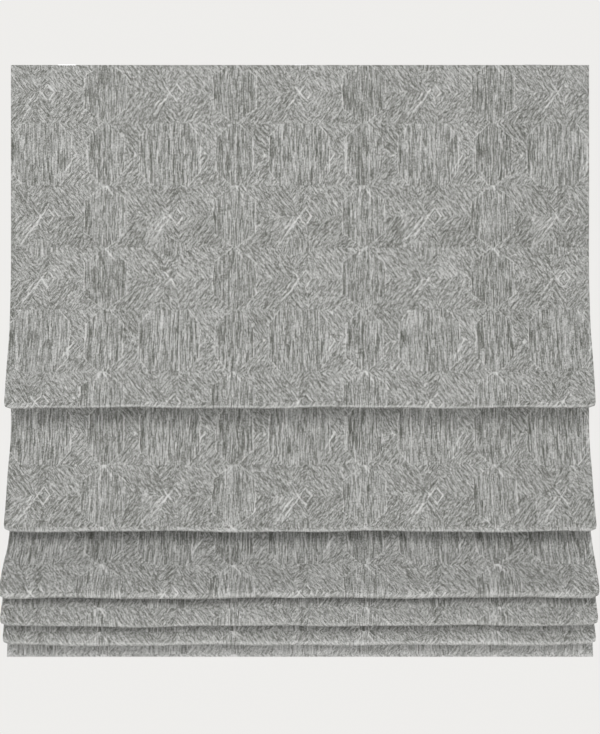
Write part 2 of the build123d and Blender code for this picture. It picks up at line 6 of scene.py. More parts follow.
import bpy
import numpy as np
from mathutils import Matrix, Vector


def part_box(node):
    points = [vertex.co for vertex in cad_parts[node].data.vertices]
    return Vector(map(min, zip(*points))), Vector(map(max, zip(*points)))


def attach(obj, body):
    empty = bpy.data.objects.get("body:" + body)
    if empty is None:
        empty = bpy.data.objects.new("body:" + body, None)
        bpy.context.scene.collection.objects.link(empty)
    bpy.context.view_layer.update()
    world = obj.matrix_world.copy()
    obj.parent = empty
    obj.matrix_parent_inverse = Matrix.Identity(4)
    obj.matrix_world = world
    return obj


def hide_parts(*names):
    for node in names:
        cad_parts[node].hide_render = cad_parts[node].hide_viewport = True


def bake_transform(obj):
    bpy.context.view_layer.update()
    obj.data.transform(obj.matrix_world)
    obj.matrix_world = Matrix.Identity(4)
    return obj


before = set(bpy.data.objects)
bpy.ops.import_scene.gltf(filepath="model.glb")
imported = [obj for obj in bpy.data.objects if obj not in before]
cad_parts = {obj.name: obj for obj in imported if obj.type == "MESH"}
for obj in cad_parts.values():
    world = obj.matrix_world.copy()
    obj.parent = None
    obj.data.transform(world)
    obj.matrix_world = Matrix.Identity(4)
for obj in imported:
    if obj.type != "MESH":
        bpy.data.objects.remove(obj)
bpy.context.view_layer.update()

# Everything is in metres. Forward is measured towards the room from the plane in which the flat
# cloth hangs, and drop is measured down from the cloth's top edge.

log = logging.getLogger("roman_blind")

Place = tuple[float, float, float]
Colour = tuple[float, float, float]


class Coordinates(Enum):
    """Where a finish reads its pattern from."""

    OBJECT = "Object"
    CLOTH = "UV"


class Direction(Enum):
    """Which way the grain of a finish runs, as how much it is packed along each axis."""

    EVEN = (1.0, 1.0, 1.0)
    ALONG_WIDTH = (0.02, 1.0, 1.0)
    ROUND_AXIS = (1.0, 0.05, 0.05)


@dataclass(frozen=True, eq=False)
class Signal:
    """A value that a node puts out. Arithmetic with it adds Math nodes."""

    bench: "Bench"
    socket: bpy.types.NodeSocket

    def __add__(self, other: "Signal | float") -> "Signal":
        """The sum."""
        return self.bench.math("ADD", self, other)

    def __sub__(self, other: "Signal | float") -> "Signal":
        """The difference."""
        return self.bench.math("SUBTRACT", self, other)

    def __rsub__(self, other: float) -> "Signal":
        """The difference of a plain number and this."""
        return self.bench.math("SUBTRACT", other, self)

    def __mul__(self, other: "Signal | float") -> "Signal":
        """The product."""
        return self.bench.math("MULTIPLY", self, other)

    def __truediv__(self, other: "Signal | float") -> "Signal":
        """The quotient."""
        return self.bench.math("DIVIDE", self, other)

    def __lt__(self, other: "Signal | float") -> "Signal":
        """1 where this is the lesser."""
        return self.bench.math("LESS_THAN", self, other)

    def __gt__(self, other: "Signal | float") -> "Signal":
        """1 where this is the greater."""
        return self.bench.math("GREATER_THAN", self, other)

    def __abs__(self) -> "Signal":
        """The value without its sign."""
        return self.bench.math("ABSOLUTE", self)

    def scaled(self, factor: "Signal | float", plus: "Signal | float") -> "Signal":
        """The product with a factor, plus a second value."""
        return self.bench.math("MULTIPLY_ADD", self, factor, plus)

    def floor(self) -> "Signal":
        """The whole number at or below the value."""
        return self.bench.math("FLOOR", self)

    def fraction(self) -> "Signal":
        """What is left above that whole number."""
        return self.bench.math("FRACT", self)

    def sine(self) -> "Signal":
        """The sine."""
        return self.bench.math("SINE", self)

    def at_most(self, other: "Signal | float") -> "Signal":
        """The lesser of the two."""
        return self.bench.math("MINIMUM", self, other)

    def at_least(self, other: "Signal | float") -> "Signal":
        """The greater of the two."""
        return self.bench.math("MAXIMUM", self, other)

    def equals(self, other: "Signal | float") -> "Signal":
        """1 where two whole numbers are the same."""
        return self.bench.math("COMPARE", self, other, 0.1)

    def mapped(self, low: float, high: float, start: float, end: float) -> "Signal":
        """The value brought smoothly from the range low to high into the range start to end."""
        return self.bench.signal("MapRange", self, low, high, start, end, interpolation_type="SMOOTHSTEP")


@dataclass
class Bench:
    """Lays out and links the nodes of one node tree."""

    tree: bpy.types.NodeTree

    def feed(self, socket: bpy.types.NodeSocket, value: object) -> None:
        """Link a socket or set its value.

        Args:
            socket: The input to feed.
            value: A signal or a plain value, or None to leave the input as it is.
        """
        if isinstance(value, Signal):
            self.tree.links.new(value.socket, socket)
        elif value is not None:
            socket.default_value = value

    def node(self, kind: str, *inputs: object, **settings: object) -> bpy.types.Node:
        """Add a node.

        Args:
            kind: The node type's identifier, without its prefix.
            *inputs: What its inputs are fed, in their order.
            **settings: Properties of the node.

        Returns:
            The new node.
        """
        prefix = "Node" if kind in ("GroupInput", "GroupOutput") else "ShaderNode"
        made = self.tree.nodes.new(prefix + kind)
        for name, value in settings.items():
            setattr(made, name, value)
        for socket, value in zip(made.inputs, inputs):
            self.feed(socket, value)
        return made

    def signals(self, kind: str, *inputs: object, **settings: object) -> list[Signal]:
        """Add a node and give all its outputs."""
        return [Signal(self, socket) for socket in self.node(kind, *inputs, **settings).outputs]

    def signal(self, kind: str, *inputs: object, output: int | str = 0, **settings: object) -> Signal:
        """Add a node and give one of its outputs."""
        return Signal(self, self.node(kind, *inputs, **settings).outputs[output])

    def dial(self, node: bpy.types.Node, values: dict[str, object]) -> None:
        """Feed inputs of a node by their names.

        Args:
            node: The node.
            values: A signal or a plain value for each input.
        """
        for name, value in values.items():
            self.feed(node.inputs[name], value)

    def math(self, operation: str, *inputs: object) -> Signal:
        """Add a Math node."""
        return self.signal("Math", *inputs, operation=operation)

    def modulo(self, value: Signal, divisor: float) -> Signal:
        """What is left of a whole number after division."""
        return self.math("FLOORED_MODULO", value, divisor)

    def length(self, first: Signal, second: Signal) -> Signal:
        """The length of a run of two lengths at right angles."""
        return self.math("SQRT", first * first + second * second)

    def product(self, first: object, second: object) -> Signal:
        """The product of two vectors, value by value."""
        return self.signal("VectorMath", first, second, operation="MULTIPLY")

    def stretched(self, vector: object, factor: Signal) -> Signal:
        """A vector or colour times a value."""
        return self.signal("VectorMath", vector, None, None, factor, operation="SCALE")

    def combine(self, x: Signal, y: object, z: object = 0.0) -> Signal:
        """A vector from three values."""
        return self.signal("CombineXYZ", x, y, z)

    def split(self, vector: Signal) -> list[Signal]:
        """The three values of a vector."""
        return self.signals("SeparateXYZ", vector)

    def mix(self, share: object, first: Signal, second: Signal) -> Signal:
        """Two values mixed, with a share of the second."""
        return self.signal("Mix", share, None, first, second, data_type="FLOAT")

    def noise(self, vector: Signal, scale: object, detail: float = 2.0, roughness: float = 0.5) -> Signal:
        """Cloudy noise from 0 to 1."""
        return self.signal("TexNoise", vector, None, scale, detail, roughness, noise_dimensions="3D")

    def random(self, x: Signal, y: Signal, z: object) -> Signal:
        """A random value from 0 to 1 for each set of three whole numbers."""
        return self.signal("TexWhiteNoise", self.combine(x, y, z), output="Value", noise_dimensions="3D")

    def colours(self, share: Signal, stops: dict[float, Colour]) -> Signal:
        """Find a colour by straight runs between stops.

        Args:
            share: The value to look up.
            stops: The colour at each place.

        Returns:
            The colour found.
        """
        made = self.node("ValToRGB", share)
        elements = made.color_ramp.elements
        elements.remove(elements[1])
        for index, (place, colour) in enumerate(stops.items()):
            stop = elements[0] if index == 0 else elements.new(place)
            stop.position = place
            stop.color = (*colour, 1.0)
        return Signal(self, made.outputs[0])


def new_group(name: str, inputs: dict[str, str], outputs: dict[str, str]) -> tuple[Bench, list[Signal]]:
    """Make a shader node group.

    Args:
        name: The group's name.
        inputs: Names and kinds of its inputs.
        outputs: Names and kinds of its outputs.

    Returns:
        A bench for the group, and its inputs.
    """
    tree = bpy.data.node_groups.new(name, "ShaderNodeTree")
    for way, sockets in (("INPUT", inputs), ("OUTPUT", outputs)):
        for label, kind in sockets.items():
            tree.interface.new_socket(label, in_out=way, socket_type=f"NodeSocket{kind}")
    bench = Bench(tree)
    return bench, bench.signals("GroupInput")[: len(inputs)]


@dataclass(frozen=True)
class Block:
    """Half the width of a block of upright strokes, in repeats, from the edge of its row to the middle."""

    at_edge: float
    growth: float
    most: float
    outline: tuple[float, float] = (0.002, 0.008)

    def cover(self, distance: Signal, middle: Signal) -> tuple[Signal, Signal]:
        """Find the block.

        Args:
            distance: The distance from the block's middle line.
            middle: 0 at the edge of the row and 1 in its middle.

        Returns:
            1 in the block, and 1 on its outline.
        """
        half = middle.scaled(self.growth, self.at_edge).at_most(self.most)
        return distance < half, abs(distance - half).mapped(*self.outline, 1.0, 0.0)


@dataclass(frozen=True)
class Stroke:
    """Size of the strokes that the pattern is drawn with."""

    width: float
    length: float


@dataclass(frozen=True)
class Spot:
    """A bright or dark spot, at a place in repeats across and in rows down."""

    across: float
    down: float
    size: float
    strength: float
    upright_row: bool
    squeeze: float = 1.0


@dataclass(frozen=True)
class Streak:
    """A bright streak that runs off from a place, thinning out to its end."""

    across: float
    down: float
    run: float
    fall: float
    width: float
    strength: float
    upright_row: bool = False


@dataclass(frozen=True)
class PatternPlace:
    """A place in the pattern: its repeat and its row, and where it lies in them.

    Across is in repeats from the nearest point, and down runs from 0 to 1 in the row.
    """

    repeat: Signal
    row: Signal
    across: Signal
    down: Signal
    kind: Signal
    upright: Signal
    pointed: Signal


@dataclass(frozen=True)
class HatchedFacets:
    """The traditional facet pattern of the face cloth, drawn with short straight strokes.

    Rows of two kinds repeat down the cloth. Pointed rows have nested chevrons round a bright point
    and blocks of upright strokes between them. Upright rows have wide and narrow upright blocks.
    """

    repeat: float = 0.2677
    row_height: float = 0.1289
    first_row: float = 0.006
    rows: float = 3.0
    upright_row: float = 1.0
    slope: float = radians(53)
    turned_reach: tuple[float, float] = (-0.10, 0.03)
    wide_block: Block = Block(0.145, 0.20, 0.235)
    narrow_block: Block = Block(0.030, 0.24, 0.145)
    pointed_block: Block = Block(0.010, 0.32, 0.166)
    foot_block: Block = Block(0.16, -0.5, 0.16)
    coarse_stroke: Stroke = Stroke(0.0028, 0.014)
    fine_stroke: Stroke = Stroke(0.0014, 0.006)
    line_pitch: float = 0.0095
    upright_stretch: float = 0.40
    wander: float = 0.0035
    wander_scale: float = 26.0
    diamond_centre: float = 0.05
    diamond_half: float = 0.0105
    diamond_line: tuple[float, float] = (0.0004, 0.0022)
    diamond_strength: float = 0.34
    fine_contrast: float = 0.50
    coarse_contrast: float = 0.24
    block_contrast: float = 0.12
    line_contrast: float = 0.05
    facet_contrast: float = 0.14
    mottle_scale: float = 260.0
    facet_tones: float = 5.0
    facet_seeds: float = 90.0
    fine_seed: float = 3.7
    dash_shift: float = 7.0
    stroke_levels: tuple[float, float] = (0.1, 0.7)
    outline_light: tuple[float, float] = (0.1, 0.3)
    mark_light: tuple[float, float] = (0.35, 1.2)
    spots: tuple[Spot, ...] = (
        Spot(0.00, 0.50, 0.024, 0.26, upright_row=False),
        Spot(0.27, 0.48, 0.020, 0.34, upright_row=True),
        Spot(-0.27, 0.50, 0.026, 0.40, upright_row=True),
        Spot(0.50, 0.02, 0.028, 0.26, upright_row=False),
        Spot(-0.17, 0.50, 0.050, 0.10, upright_row=False, squeeze=0.6),
        Spot(0.395, 0.42, 0.022, -0.46, upright_row=True, squeeze=0.16),
        Spot(-0.21, 0.45, 0.030, -0.30, upright_row=True, squeeze=0.3),
        Spot(0.34, 0.50, 0.022, -0.20, upright_row=False, squeeze=0.3),
    )
    streaks: tuple[Streak, ...] = (
        Streak(0.00, 0.50, -0.17, 0.226, 0.013, 0.36),
        Streak(-0.04, 0.50, -0.12, 0.160, 0.011, 0.26),
        Streak(0.00, 0.50, -0.05, -0.066, 0.011, 0.30),
        Streak(0.50, 0.00, 0.09, 0.120, 0.012, 0.46),
        Streak(0.50, 0.00, -0.09, 0.120, 0.011, 0.20),
        Streak(0.27, 0.50, -0.12, 0.190, 0.011, 0.42, upright_row=True),
    )

    def group(self) -> bpy.types.NodeTree:
        """Build the node group.

        Returns:
            A group from a place on the cloth to its tone and its relief.
        """
        outputs = {"Tone": "Float", "Relief": "Float"}
        bench, (place,) = new_group("hatched_facets", {"Place": "Vector"}, outputs)
        here = self.locate(bench, place)
        block, outline, turned_back, upper = self.facets(bench, here)
        chevron = 1.0 - block
        facet = upper.scaled(2.0, turned_back) * chevron
        seed = bench.random(here.repeat, here.row, facet) * self.facet_seeds
        fine, coarse, lines = self.strokes(bench, here, block, turned_back, seed)
        contrast = (block * here.upright).scaled(self.block_contrast, self.coarse_contrast)
        tone = (fine - 0.5).scaled(self.fine_contrast, 0.5)
        tone = tone + (coarse - 0.5) * contrast + lines * self.line_contrast
        column = (here.across * self.facet_tones).floor()
        facet_tone = bench.random(column, here.kind, block.scaled(self.facet_tones, facet))
        tone = tone + facet_tone.scaled(self.facet_contrast, -self.facet_contrast / 2)
        mottle = bench.noise(place, self.mottle_scale, 3.0, 0.75)
        tone = tone + (mottle - 0.5) + outline * coarse.mapped(*self.stroke_levels, *self.outline_light)
        for mark in self.marks(bench, here, coarse):
            tone = tone + mark
        bench.node("GroupOutput", tone, bench.mix(0.5, fine, mottle))
        return bench.tree

    def locate(self, bench: Bench, place: Signal) -> PatternPlace:
        """Find a place in the pattern, with a slow drift, so that the drawn lines aren't ruled.

        Args:
            bench: The bench to build on.
            place: The place on the cloth.

        Returns:
            The place in the pattern.
        """
        drift = bench.signal("TexNoise", place, None, self.wander_scale, 1.0, output=1, noise_dimensions="2D")
        drifted = bench.signal("VectorMath", drift, (self.wander,) * 3, place, operation="MULTIPLY_ADD")
        across, down, _ = bench.split(drifted)
        repeat = across / self.repeat + 0.5
        row = (down + self.first_row) / self.row_height
        kind = bench.modulo(row.floor(), self.rows)
        upright = kind.equals(self.upright_row)
        return PatternPlace(
            repeat.floor(), row.floor(), repeat.fraction() - 0.5, row.fraction(), kind, upright, 1.0 - upright
        )

    def facets(self, bench: Bench, here: PatternPlace) -> tuple[Signal, ...]:
        """Find the facet of a place.

        Args:
            bench: The bench to build on.
            here: The place in the pattern.

        Returns:
            1 in blocks of upright strokes, 1 on their outlines, 1 where chevrons turn back, and 1 in
            a row's upper half.
        """
        edge = abs(here.down.scaled(2.0, -1.0))
        middle = 1.0 - edge
        near = abs(here.across)
        far = 0.5 - near
        upper = here.down < 0.5
        wide, wide_line = self.wide_block.cover(near, middle)
        narrow, narrow_line = self.narrow_block.cover(far, middle)
        pointed, pointed_line = self.pointed_block.cover(far, middle)
        foot, _ = self.foot_block.cover(near, middle)
        outline = bench.mix(here.upright, pointed_line, wide_line.at_least(narrow_line))
        next_to_upright = upper.equals(here.kind.equals(0.0))
        pointed = pointed.at_least(foot * next_to_upright)
        block = bench.mix(here.upright, pointed, wide.at_least(narrow))
        after = here.across > edge * self.turned_reach[0]
        before = here.across < edge.scaled(self.turned_reach[1], self.diamond_centre)
        return block, outline, after * before * here.pointed, upper

    def strokes(
        self, bench: Bench, here: PatternPlace, block: Signal, turned_back: Signal, seed: Signal
    ) -> tuple[Signal, ...]:
        """Draw the strokes, slanted in the chevrons and standing in the blocks.

        Args:
            bench: The bench to build on.
            here: The place in the pattern.
            block: 1 in blocks of upright strokes.
            turned_back: 1 where chevrons turn back.
            seed: A number of the facet's own.

        Returns:
            The levels of fine strokes, of coarse strokes and of evenly spaced lines.
        """
        x = here.across * self.repeat
        y = (here.down - 0.5) * self.row_height
        away = abs(y)
        facing = x * turned_back.scaled(-2.0, 1.0)
        beside = bench.mix(block, facing * sin(self.slope) + away * cos(self.slope), x)
        along = bench.mix(block, facing * cos(self.slope) - away * sin(self.slope), y * self.upright_stretch)
        coarse = self.dashes(bench, beside, along, self.coarse_stroke, seed)
        fine = self.dashes(bench, beside, along, self.fine_stroke, seed + self.fine_seed)
        return fine, coarse, (beside * (2 * pi / self.line_pitch)).sine()

    def dashes(self, bench: Bench, beside: Signal, along: Signal, stroke: Stroke, seed: Signal) -> Signal:
        """Draw rows of short dashes, each with a level of its own.

        Args:
            bench: The bench to build on.
            beside: The place across the strokes.
            along: The place along the strokes.
            stroke: Their size.
            seed: A number that sets these dashes apart.

        Returns:
            The level, from 0 to 1.
        """
        column = (beside / stroke.width).floor()
        start = bench.random(column, seed, 0.5) * self.dash_shift
        return bench.random(column, (along / stroke.length + start).floor(), seed)

    def offset(self, bench: Bench, here: PatternPlace, across: float, down: float) -> tuple[Signal, Signal]:
        """How far a place lies across and down from a point of the pattern, in repeats."""
        right = bench.math("WRAP", here.across - across, 0.5, -0.5)
        return right, (here.down - down) * (self.row_height / self.repeat)

    def marks(self, bench: Bench, here: PatternPlace, level: Signal) -> list[Signal]:
        """Draw spots where facets meet, streaks that run from them, and a diamond in each point.

        Args:
            bench: The bench to build on.
            here: The place in the pattern.
            level: The strokes' level, which breaks the marks up.

        Returns:
            What to add to the tone, one entry a mark.
        """
        broken = level.mapped(*self.stroke_levels, *self.mark_light)
        rows = {True: here.upright * broken, False: here.pointed * broken}
        found = []
        for spot in self.spots:
            right, low = self.offset(bench, here, spot.across, spot.down)
            reach = bench.length(right, low * spot.squeeze)
            found.append(reach.mapped(0.0, spot.size, spot.strength, 0.0) * rows[spot.upright_row])
        for streak in self.streaks:
            right, low = self.offset(bench, here, streak.across, streak.down)
            length = hypot(streak.run, streak.fall)
            run, fall = streak.run / length, streak.fall / length
            off, out = abs(right * fall - low * run), right * run + low * fall
            line = off.mapped(0.0, streak.width, streak.strength, 0.0) * (out > 0.0)
            found.append(line * out.mapped(length / 2, length, 1.0, 0.0) * rows[streak.upright_row])
        right, low = self.offset(bench, here, self.diamond_centre, 0.5)
        ring = abs(right) * (self.repeat * sin(self.slope)) + abs(low) * (self.repeat * cos(self.slope))
        line = abs(ring - self.diamond_half).mapped(*self.diamond_line, self.diamond_strength, 0.0)
        return [*found, line * rows[False]]


@dataclass(frozen=True)
class ThreadWeave:
    """Over-and-under threads of a woven cloth."""

    slub_ways: tuple[Place, Place] = ((0.7, 0.03, 1.0), (0.03, 0.7, 1.0))
    fleck: float = 2.0

    def group(self) -> bpy.types.NodeTree:
        """Build the node group.

        Returns:
            A group from a place and a thread pitch to the threads' height, their unevenness and
            flecks of yarn.
        """
        bench, (place, pitch) = new_group(
            "thread_weave",
            {"Place": "Vector", "Pitch": "Float"},
            {"Height": "Float", "Slub": "Float", "Fleck": "Float"},
        )
        threads = bench.stretched(place, bench.math("DIVIDE", 1.0, pitch))
        across, down, _ = bench.split(threads)
        warp, weft = abs((across * pi).sine()), abs((down * pi).sine())
        over = bench.modulo(across.floor() + down.floor(), 2.0)
        height = bench.mix(over, warp * weft.scaled(0.5, 0.5), weft * warp.scaled(0.5, 0.5))
        slub_warp, slub_weft = [bench.noise(bench.product(threads, way), 1.0) for way in self.slub_ways]
        fleck = bench.random((across / self.fleck).floor(), (down / self.fleck).floor(), 0.5)
        bench.node("GroupOutput", height, bench.mix(0.5, slub_warp, slub_weft), fleck)
        return bench.tree


@dataclass(frozen=True)
class SurfaceGrain:
    """Fine unevenness of a moulded, painted or drawn surface."""

    cloud_scale: float = 22.0

    def group(self) -> bpy.types.NodeTree:
        """Build the node group.

        Returns:
            A group from a place, a grain size and a stretch to fine grain and slow cloudiness.
        """
        bench, (place, scale, stretch) = new_group(
            "surface_grain",
            {"Place": "Vector", "Scale": "Float", "Stretch": "Vector"},
            {"Grain": "Float", "Cloud": "Float"},
        )
        grain = bench.noise(bench.product(place, stretch), scale, 3.0)
        bench.node("GroupOutput", grain, bench.noise(place, self.cloud_scale, 3.0))
        return bench.tree


class Workshop:
    """Holds the node groups that several finishes share, each built once."""

    built: dict[str, bpy.types.NodeTree] = {}

    @classmethod
    def effect(
        cls, maker: HatchedFacets | ThreadWeave | SurfaceGrain, bench: Bench, *inputs: object
    ) -> list[Signal]:
        """Place a shared effect in a material.

        Args:
            maker: The effect.
            bench: The material's bench.
            *inputs: What the effect's inputs are fed.

        Returns:
            The effect's outputs.
        """
        name = type(maker).__name__
        if name not in cls.built:
            cls.built[name] = maker.group()
        return bench.signals("Group", *inputs, node_tree=cls.built[name])


@dataclass(frozen=True)
class Finish:
    """What all finishes have: a name, a colour and a roughness."""

    name: str
    colour: Colour
    roughness: float = 0.5
    metallic: float = 0.0
    specular: float = 0.5

    def start(self) -> tuple[bpy.types.Material, Bench, bpy.types.Node]:
        """Make the material with its shader.

        Returns:
            The material, a bench for its tree and the shader.
        """
        material = bpy.data.materials.new(self.name)
        material.use_nodes = True
        bench = Bench(material.node_tree)
        shader = material.node_tree.nodes["Principled BSDF"]
        bench.dial(shader, {
            "Base Color": (*self.colour, 1.0),
            "Roughness": self.roughness,
            "Metallic": self.metallic,
            "Specular IOR Level": self.specular,
        })
        return material, bench, shader

    def shade(self, bench: Bench, level: Signal, low: float, high: float) -> Signal:
        """The finish's colour times a brightness, which goes from low to high as a level goes from 0 to 1."""
        return bench.stretched(self.colour, level.mapped(0.0, 1.0, low, high))

    def bump(self, bench: Bench, shader: bpy.types.Node, height: Signal, distance: float) -> None:
        """Feed a height to the shader's normal.

        Args:
            bench: The bench to build on.
            shader: The shader.
            height: The height, from 0 to 1.
            distance: How far a height of 1 stands out.
        """
        relief = bench.node("Bump")
        bench.dial(relief, {"Distance": distance, "Height": height})
        bench.dial(shader, {"Normal": Signal(bench, relief.outputs[0])})


@dataclass(frozen=True)
class GrainedFinish(Finish):
    """A moulded, painted, drawn or turned surface with fine grain."""

    grain_scale: float = 900.0
    grain_depth: float = 0.00003
    grain_way: Direction = Direction.EVEN
    cloudiness: float = 0.06
    unevenness: float = 0.15
    coat: float = 0.0
    through: float = 0.0
    through_reach: float = 0.004
    grain_levels: tuple[float, float] = (0.2, 0.8)

    def build(self) -> bpy.types.Material:
        """Build the material.

        Returns:
            The material.
        """
        material, bench, shader = self.start()
        place = bench.signal("TexCoord", output=Coordinates.OBJECT.value)
        grain, cloud = Workshop.effect(SurfaceGrain(), bench, place, self.grain_scale, self.grain_way.value)
        smoothest, roughest = self.roughness * (1 - self.unevenness), self.roughness * (1 + self.unevenness)
        bench.dial(shader, {
            "Base Color": self.shade(bench, cloud, 1.0 - self.cloudiness, 1.0 + self.cloudiness),
            "Roughness": grain.mapped(*self.grain_levels, smoothest, roughest),
            "Coat Weight": self.coat,
            "Subsurface Weight": self.through,
            "Subsurface Radius": (self.through_reach,) * 3,
        })
        self.bump(bench, shader, grain, self.grain_depth)
        return material


@dataclass(frozen=True)
class PlainCloth(Finish):
    """A plain woven cloth: lining, pocket, tape or webbing."""

    pitch: float = 0.0004
    depth: float = 0.00012
    sheen: float = 0.15
    sheen_roughness: float = 0.5
    brightness: tuple[float, float] = (0.82, 1.12)
    thread_contrast: float = 0.18
    cloud_share: float = 0.35
    cloud_scale: float = 9.0
    read_from: Coordinates = Coordinates.CLOTH

    def build(self) -> bpy.types.Material:
        """Build the material.

        Returns:
            The material.
        """
        material, bench, shader = self.start()
        place = bench.signal("TexCoord", output=self.read_from.value)
        if self.read_from is Coordinates.OBJECT:
            across, forward, up = bench.split(place)
            place = bench.combine(across, up + forward)
        height, slub, _ = Workshop.effect(ThreadWeave(), bench, place, self.pitch)
        cloud = bench.noise(place, self.cloud_scale, 3.0)
        level = height.scaled(self.thread_contrast, bench.mix(self.cloud_share, slub, cloud))
        bench.dial(shader, {
            "Base Color": self.shade(bench, level, *self.brightness),
            "Sheen Weight": self.sheen,
            "Sheen Roughness": self.sheen_roughness,
        })
        self.bump(bench, shader, height, self.depth)
        return material


@dataclass(frozen=True)
class FaceCloth(Finish):
    """The patterned face cloth, with hatched facets woven in light and dark threads, a painted highlight
    along the lower edges of its folds and painted light in its hem.
    """

    threads: tuple[Colour, ...] = (
        (0.098, 0.100, 0.088),
        (0.205, 0.209, 0.190),
        (0.435, 0.436, 0.424),
        (0.700, 0.700, 0.685),
    )
    tones: tuple[float, ...] = (0.05, 0.35, 0.68, 1.0)
    slub_contrast: float = 0.40
    thread_contrast: float = 0.36
    thread_middle: float = 0.15
    fleck_contrast: float = 0.40
    painted_highlight_strength: float = 0.44
    pattern_relief: float = 0.6
    pitch: float = 0.00055
    depth: float = 0.00014
    sheen: float = 0.35
    sheen_roughness: float = 0.35

    def build(self) -> bpy.types.Material:
        """Build the material.

        Returns:
            The material.
        """
        material, bench, shader = self.start()
        across, down, _ = bench.split(bench.signal("TexCoord", output=Coordinates.CLOTH.value))
        height_now = bench.split(bench.signal("TexCoord", output=Coordinates.OBJECT.value))[2]
        height_rest = bench.signal("Attribute", output="Fac", attribute_name="hung_height")
        place = bench.combine(across, down + (height_rest - height_now))
        tone, relief = Workshop.effect(HatchedFacets(), bench, place)
        height, slub, fleck = Workshop.effect(ThreadWeave(), bench, place, self.pitch)
        tone = tone + slub.scaled(self.slub_contrast, -self.slub_contrast / 2)
        tone = tone + height.scaled(self.thread_contrast, -self.thread_middle)
        tone = tone + fleck.scaled(self.fleck_contrast, -self.fleck_contrast / 2)
        # Painted highlight: the threads are lightened along the lower edges of the folds and over the hem,
        # standing in for light that catches there.
        painted_highlight = bench.signal("Attribute", output="Fac", attribute_name="painted_highlight")
        tone = tone + painted_highlight * self.painted_highlight_strength
        bench.dial(shader, {
            "Base Color": bench.colours(tone, dict(zip(self.tones, self.threads))),
            "Sheen Weight": self.sheen,
            "Sheen Roughness": self.sheen_roughness,
        })
        self.bump(bench, shader, relief.scaled(self.pattern_relief, height), self.depth)
        return material


@dataclass(frozen=True)
class BraidedCord(Finish):
    """A braided cord, with its strands crossing in a fine diamond."""

    strand: float = 0.0014
    strands_round: float = 4.0
    depth: float = 0.00012
    brightness: tuple[float, float] = (0.84, 1.06)
    sheen: float = 0.2

    def build(self) -> bpy.types.Material:
        """Build the material.

        Returns:
            The material.
        """
        material, bench, shader = self.start()
        round_it, along, _ = bench.split(bench.signal("TexCoord", output=Coordinates.CLOTH.value))
        turns, steps = round_it * self.strands_round, along / self.strand
        braid = abs(((turns + steps) * pi).sine()).at_least(abs(((turns - steps) * pi).sine()))
        bench.dial(shader, {
            "Base Color": self.shade(bench, braid, *self.brightness),
            "Sheen Weight": self.sheen,
        })
        self.bump(bench, shader, braid, self.depth)
        return material


FINISHES: tuple[Finish, ...] = (
    FaceCloth("face_cloth", (0.33, 0.33, 0.31), roughness=0.88, specular=0.2),
    PlainCloth("lining_cloth", (0.80, 0.785, 0.735), roughness=0.9, specular=0.2),
    PlainCloth("pocket_cloth", (0.80, 0.785, 0.735), roughness=0.9, specular=0.2),
    PlainCloth("tape_cloth", (0.82, 0.82, 0.80), roughness=0.95, specular=0.1, pitch=0.0011, depth=0.0006,
               sheen=0.4, read_from=Coordinates.OBJECT),
    BraidedCord("cord_braid", (0.84, 0.84, 0.81), roughness=0.75, specular=0.3),
    GrainedFinish("stitch_thread", (0.72, 0.71, 0.67), roughness=0.7, grain_scale=2400.0,
                  grain_depth=0.00006, cloudiness=0.1),
    GrainedFinish("rail_paint", (0.82, 0.82, 0.80), roughness=0.38, grain_scale=700.0,
                  grain_depth=0.00004, cloudiness=0.02, coat=0.15),
    GrainedFinish("bar_aluminium", (0.72, 0.72, 0.73), roughness=0.34, metallic=1.0,
                  grain_scale=1600.0, grain_depth=0.00002, grain_way=Direction.ALONG_WIDTH),
    GrainedFinish("clip_steel", (0.64, 0.64, 0.65), roughness=0.3, metallic=1.0, grain_scale=500.0,
                  grain_depth=0.00002, cloudiness=0.14),
    GrainedFinish("shaft_steel", (0.52, 0.52, 0.53), roughness=0.26, metallic=1.0,
                  grain_scale=1800.0, grain_depth=0.00002, grain_way=Direction.ALONG_WIDTH),
    GrainedFinish("white_moulding", (0.84, 0.84, 0.81), roughness=0.42, grain_scale=1100.0,
                  cloudiness=0.03, through=0.08),
    GrainedFinish("spool_moulding", (0.74, 0.75, 0.74), roughness=0.36,
                  grain_depth=0.00002, grain_way=Direction.ROUND_AXIS, through=0.06),
    GrainedFinish("ring_moulding", (0.84, 0.84, 0.81), roughness=0.32,
                  grain_depth=0.00002, cloudiness=0.02, through=0.25),
    GrainedFinish("motor_case", (0.045, 0.045, 0.048), roughness=0.55, grain_scale=1500.0,
                  grain_depth=0.00008, cloudiness=0.12),
    GrainedFinish("button_moulding", (0.62, 0.20, 0.05), roughness=0.4, through=0.1),
    GrainedFinish("port_rubber", (0.025, 0.025, 0.025), roughness=0.75, grain_scale=1300.0,
                  grain_depth=0.00005),
    GrainedFinish("rod_fibreglass", (0.80, 0.80, 0.73), roughness=0.45, grain_scale=1500.0,
                  grain_depth=0.00005, grain_way=Direction.ALONG_WIDTH, cloudiness=0.08),
)


class FinishStore:
    """Builds each finish once and hands it out."""

    listed: dict[str, Finish] = {finish.name: finish for finish in FINISHES}
    made: dict[str, bpy.types.Material] = {}

    @classmethod
    def dress(cls, piece: bpy.types.Object, name: str) -> None:
        """Give a piece one finish all over.

        Args:
            piece: The piece.
            name: The finish's name.
        """
        if name not in cls.made:
            cls.made[name] = cls.listed[name].build()
        piece.data.materials.clear()
        piece.data.materials.append(cls.made[name])


@dataclass(frozen=True)
class Circle:
    """A circle that the cloth runs over in its side profile.

    The turn is 1 where the cloth turns forward over it and -1 where it turns back under it.
    """

    forward: float
    drop: float
    radius: float
    turn: int

    def touch(self, angle: float) -> tuple[float, float]:
        """Where cloth running at an angle touches the circle.

        Args:
            angle: The cloth's direction.

        Returns:
            The point's forward place and drop.
        """
        side = self.turn * self.radius
        return (self.forward + side * sin(angle), self.drop + side * cos(angle))


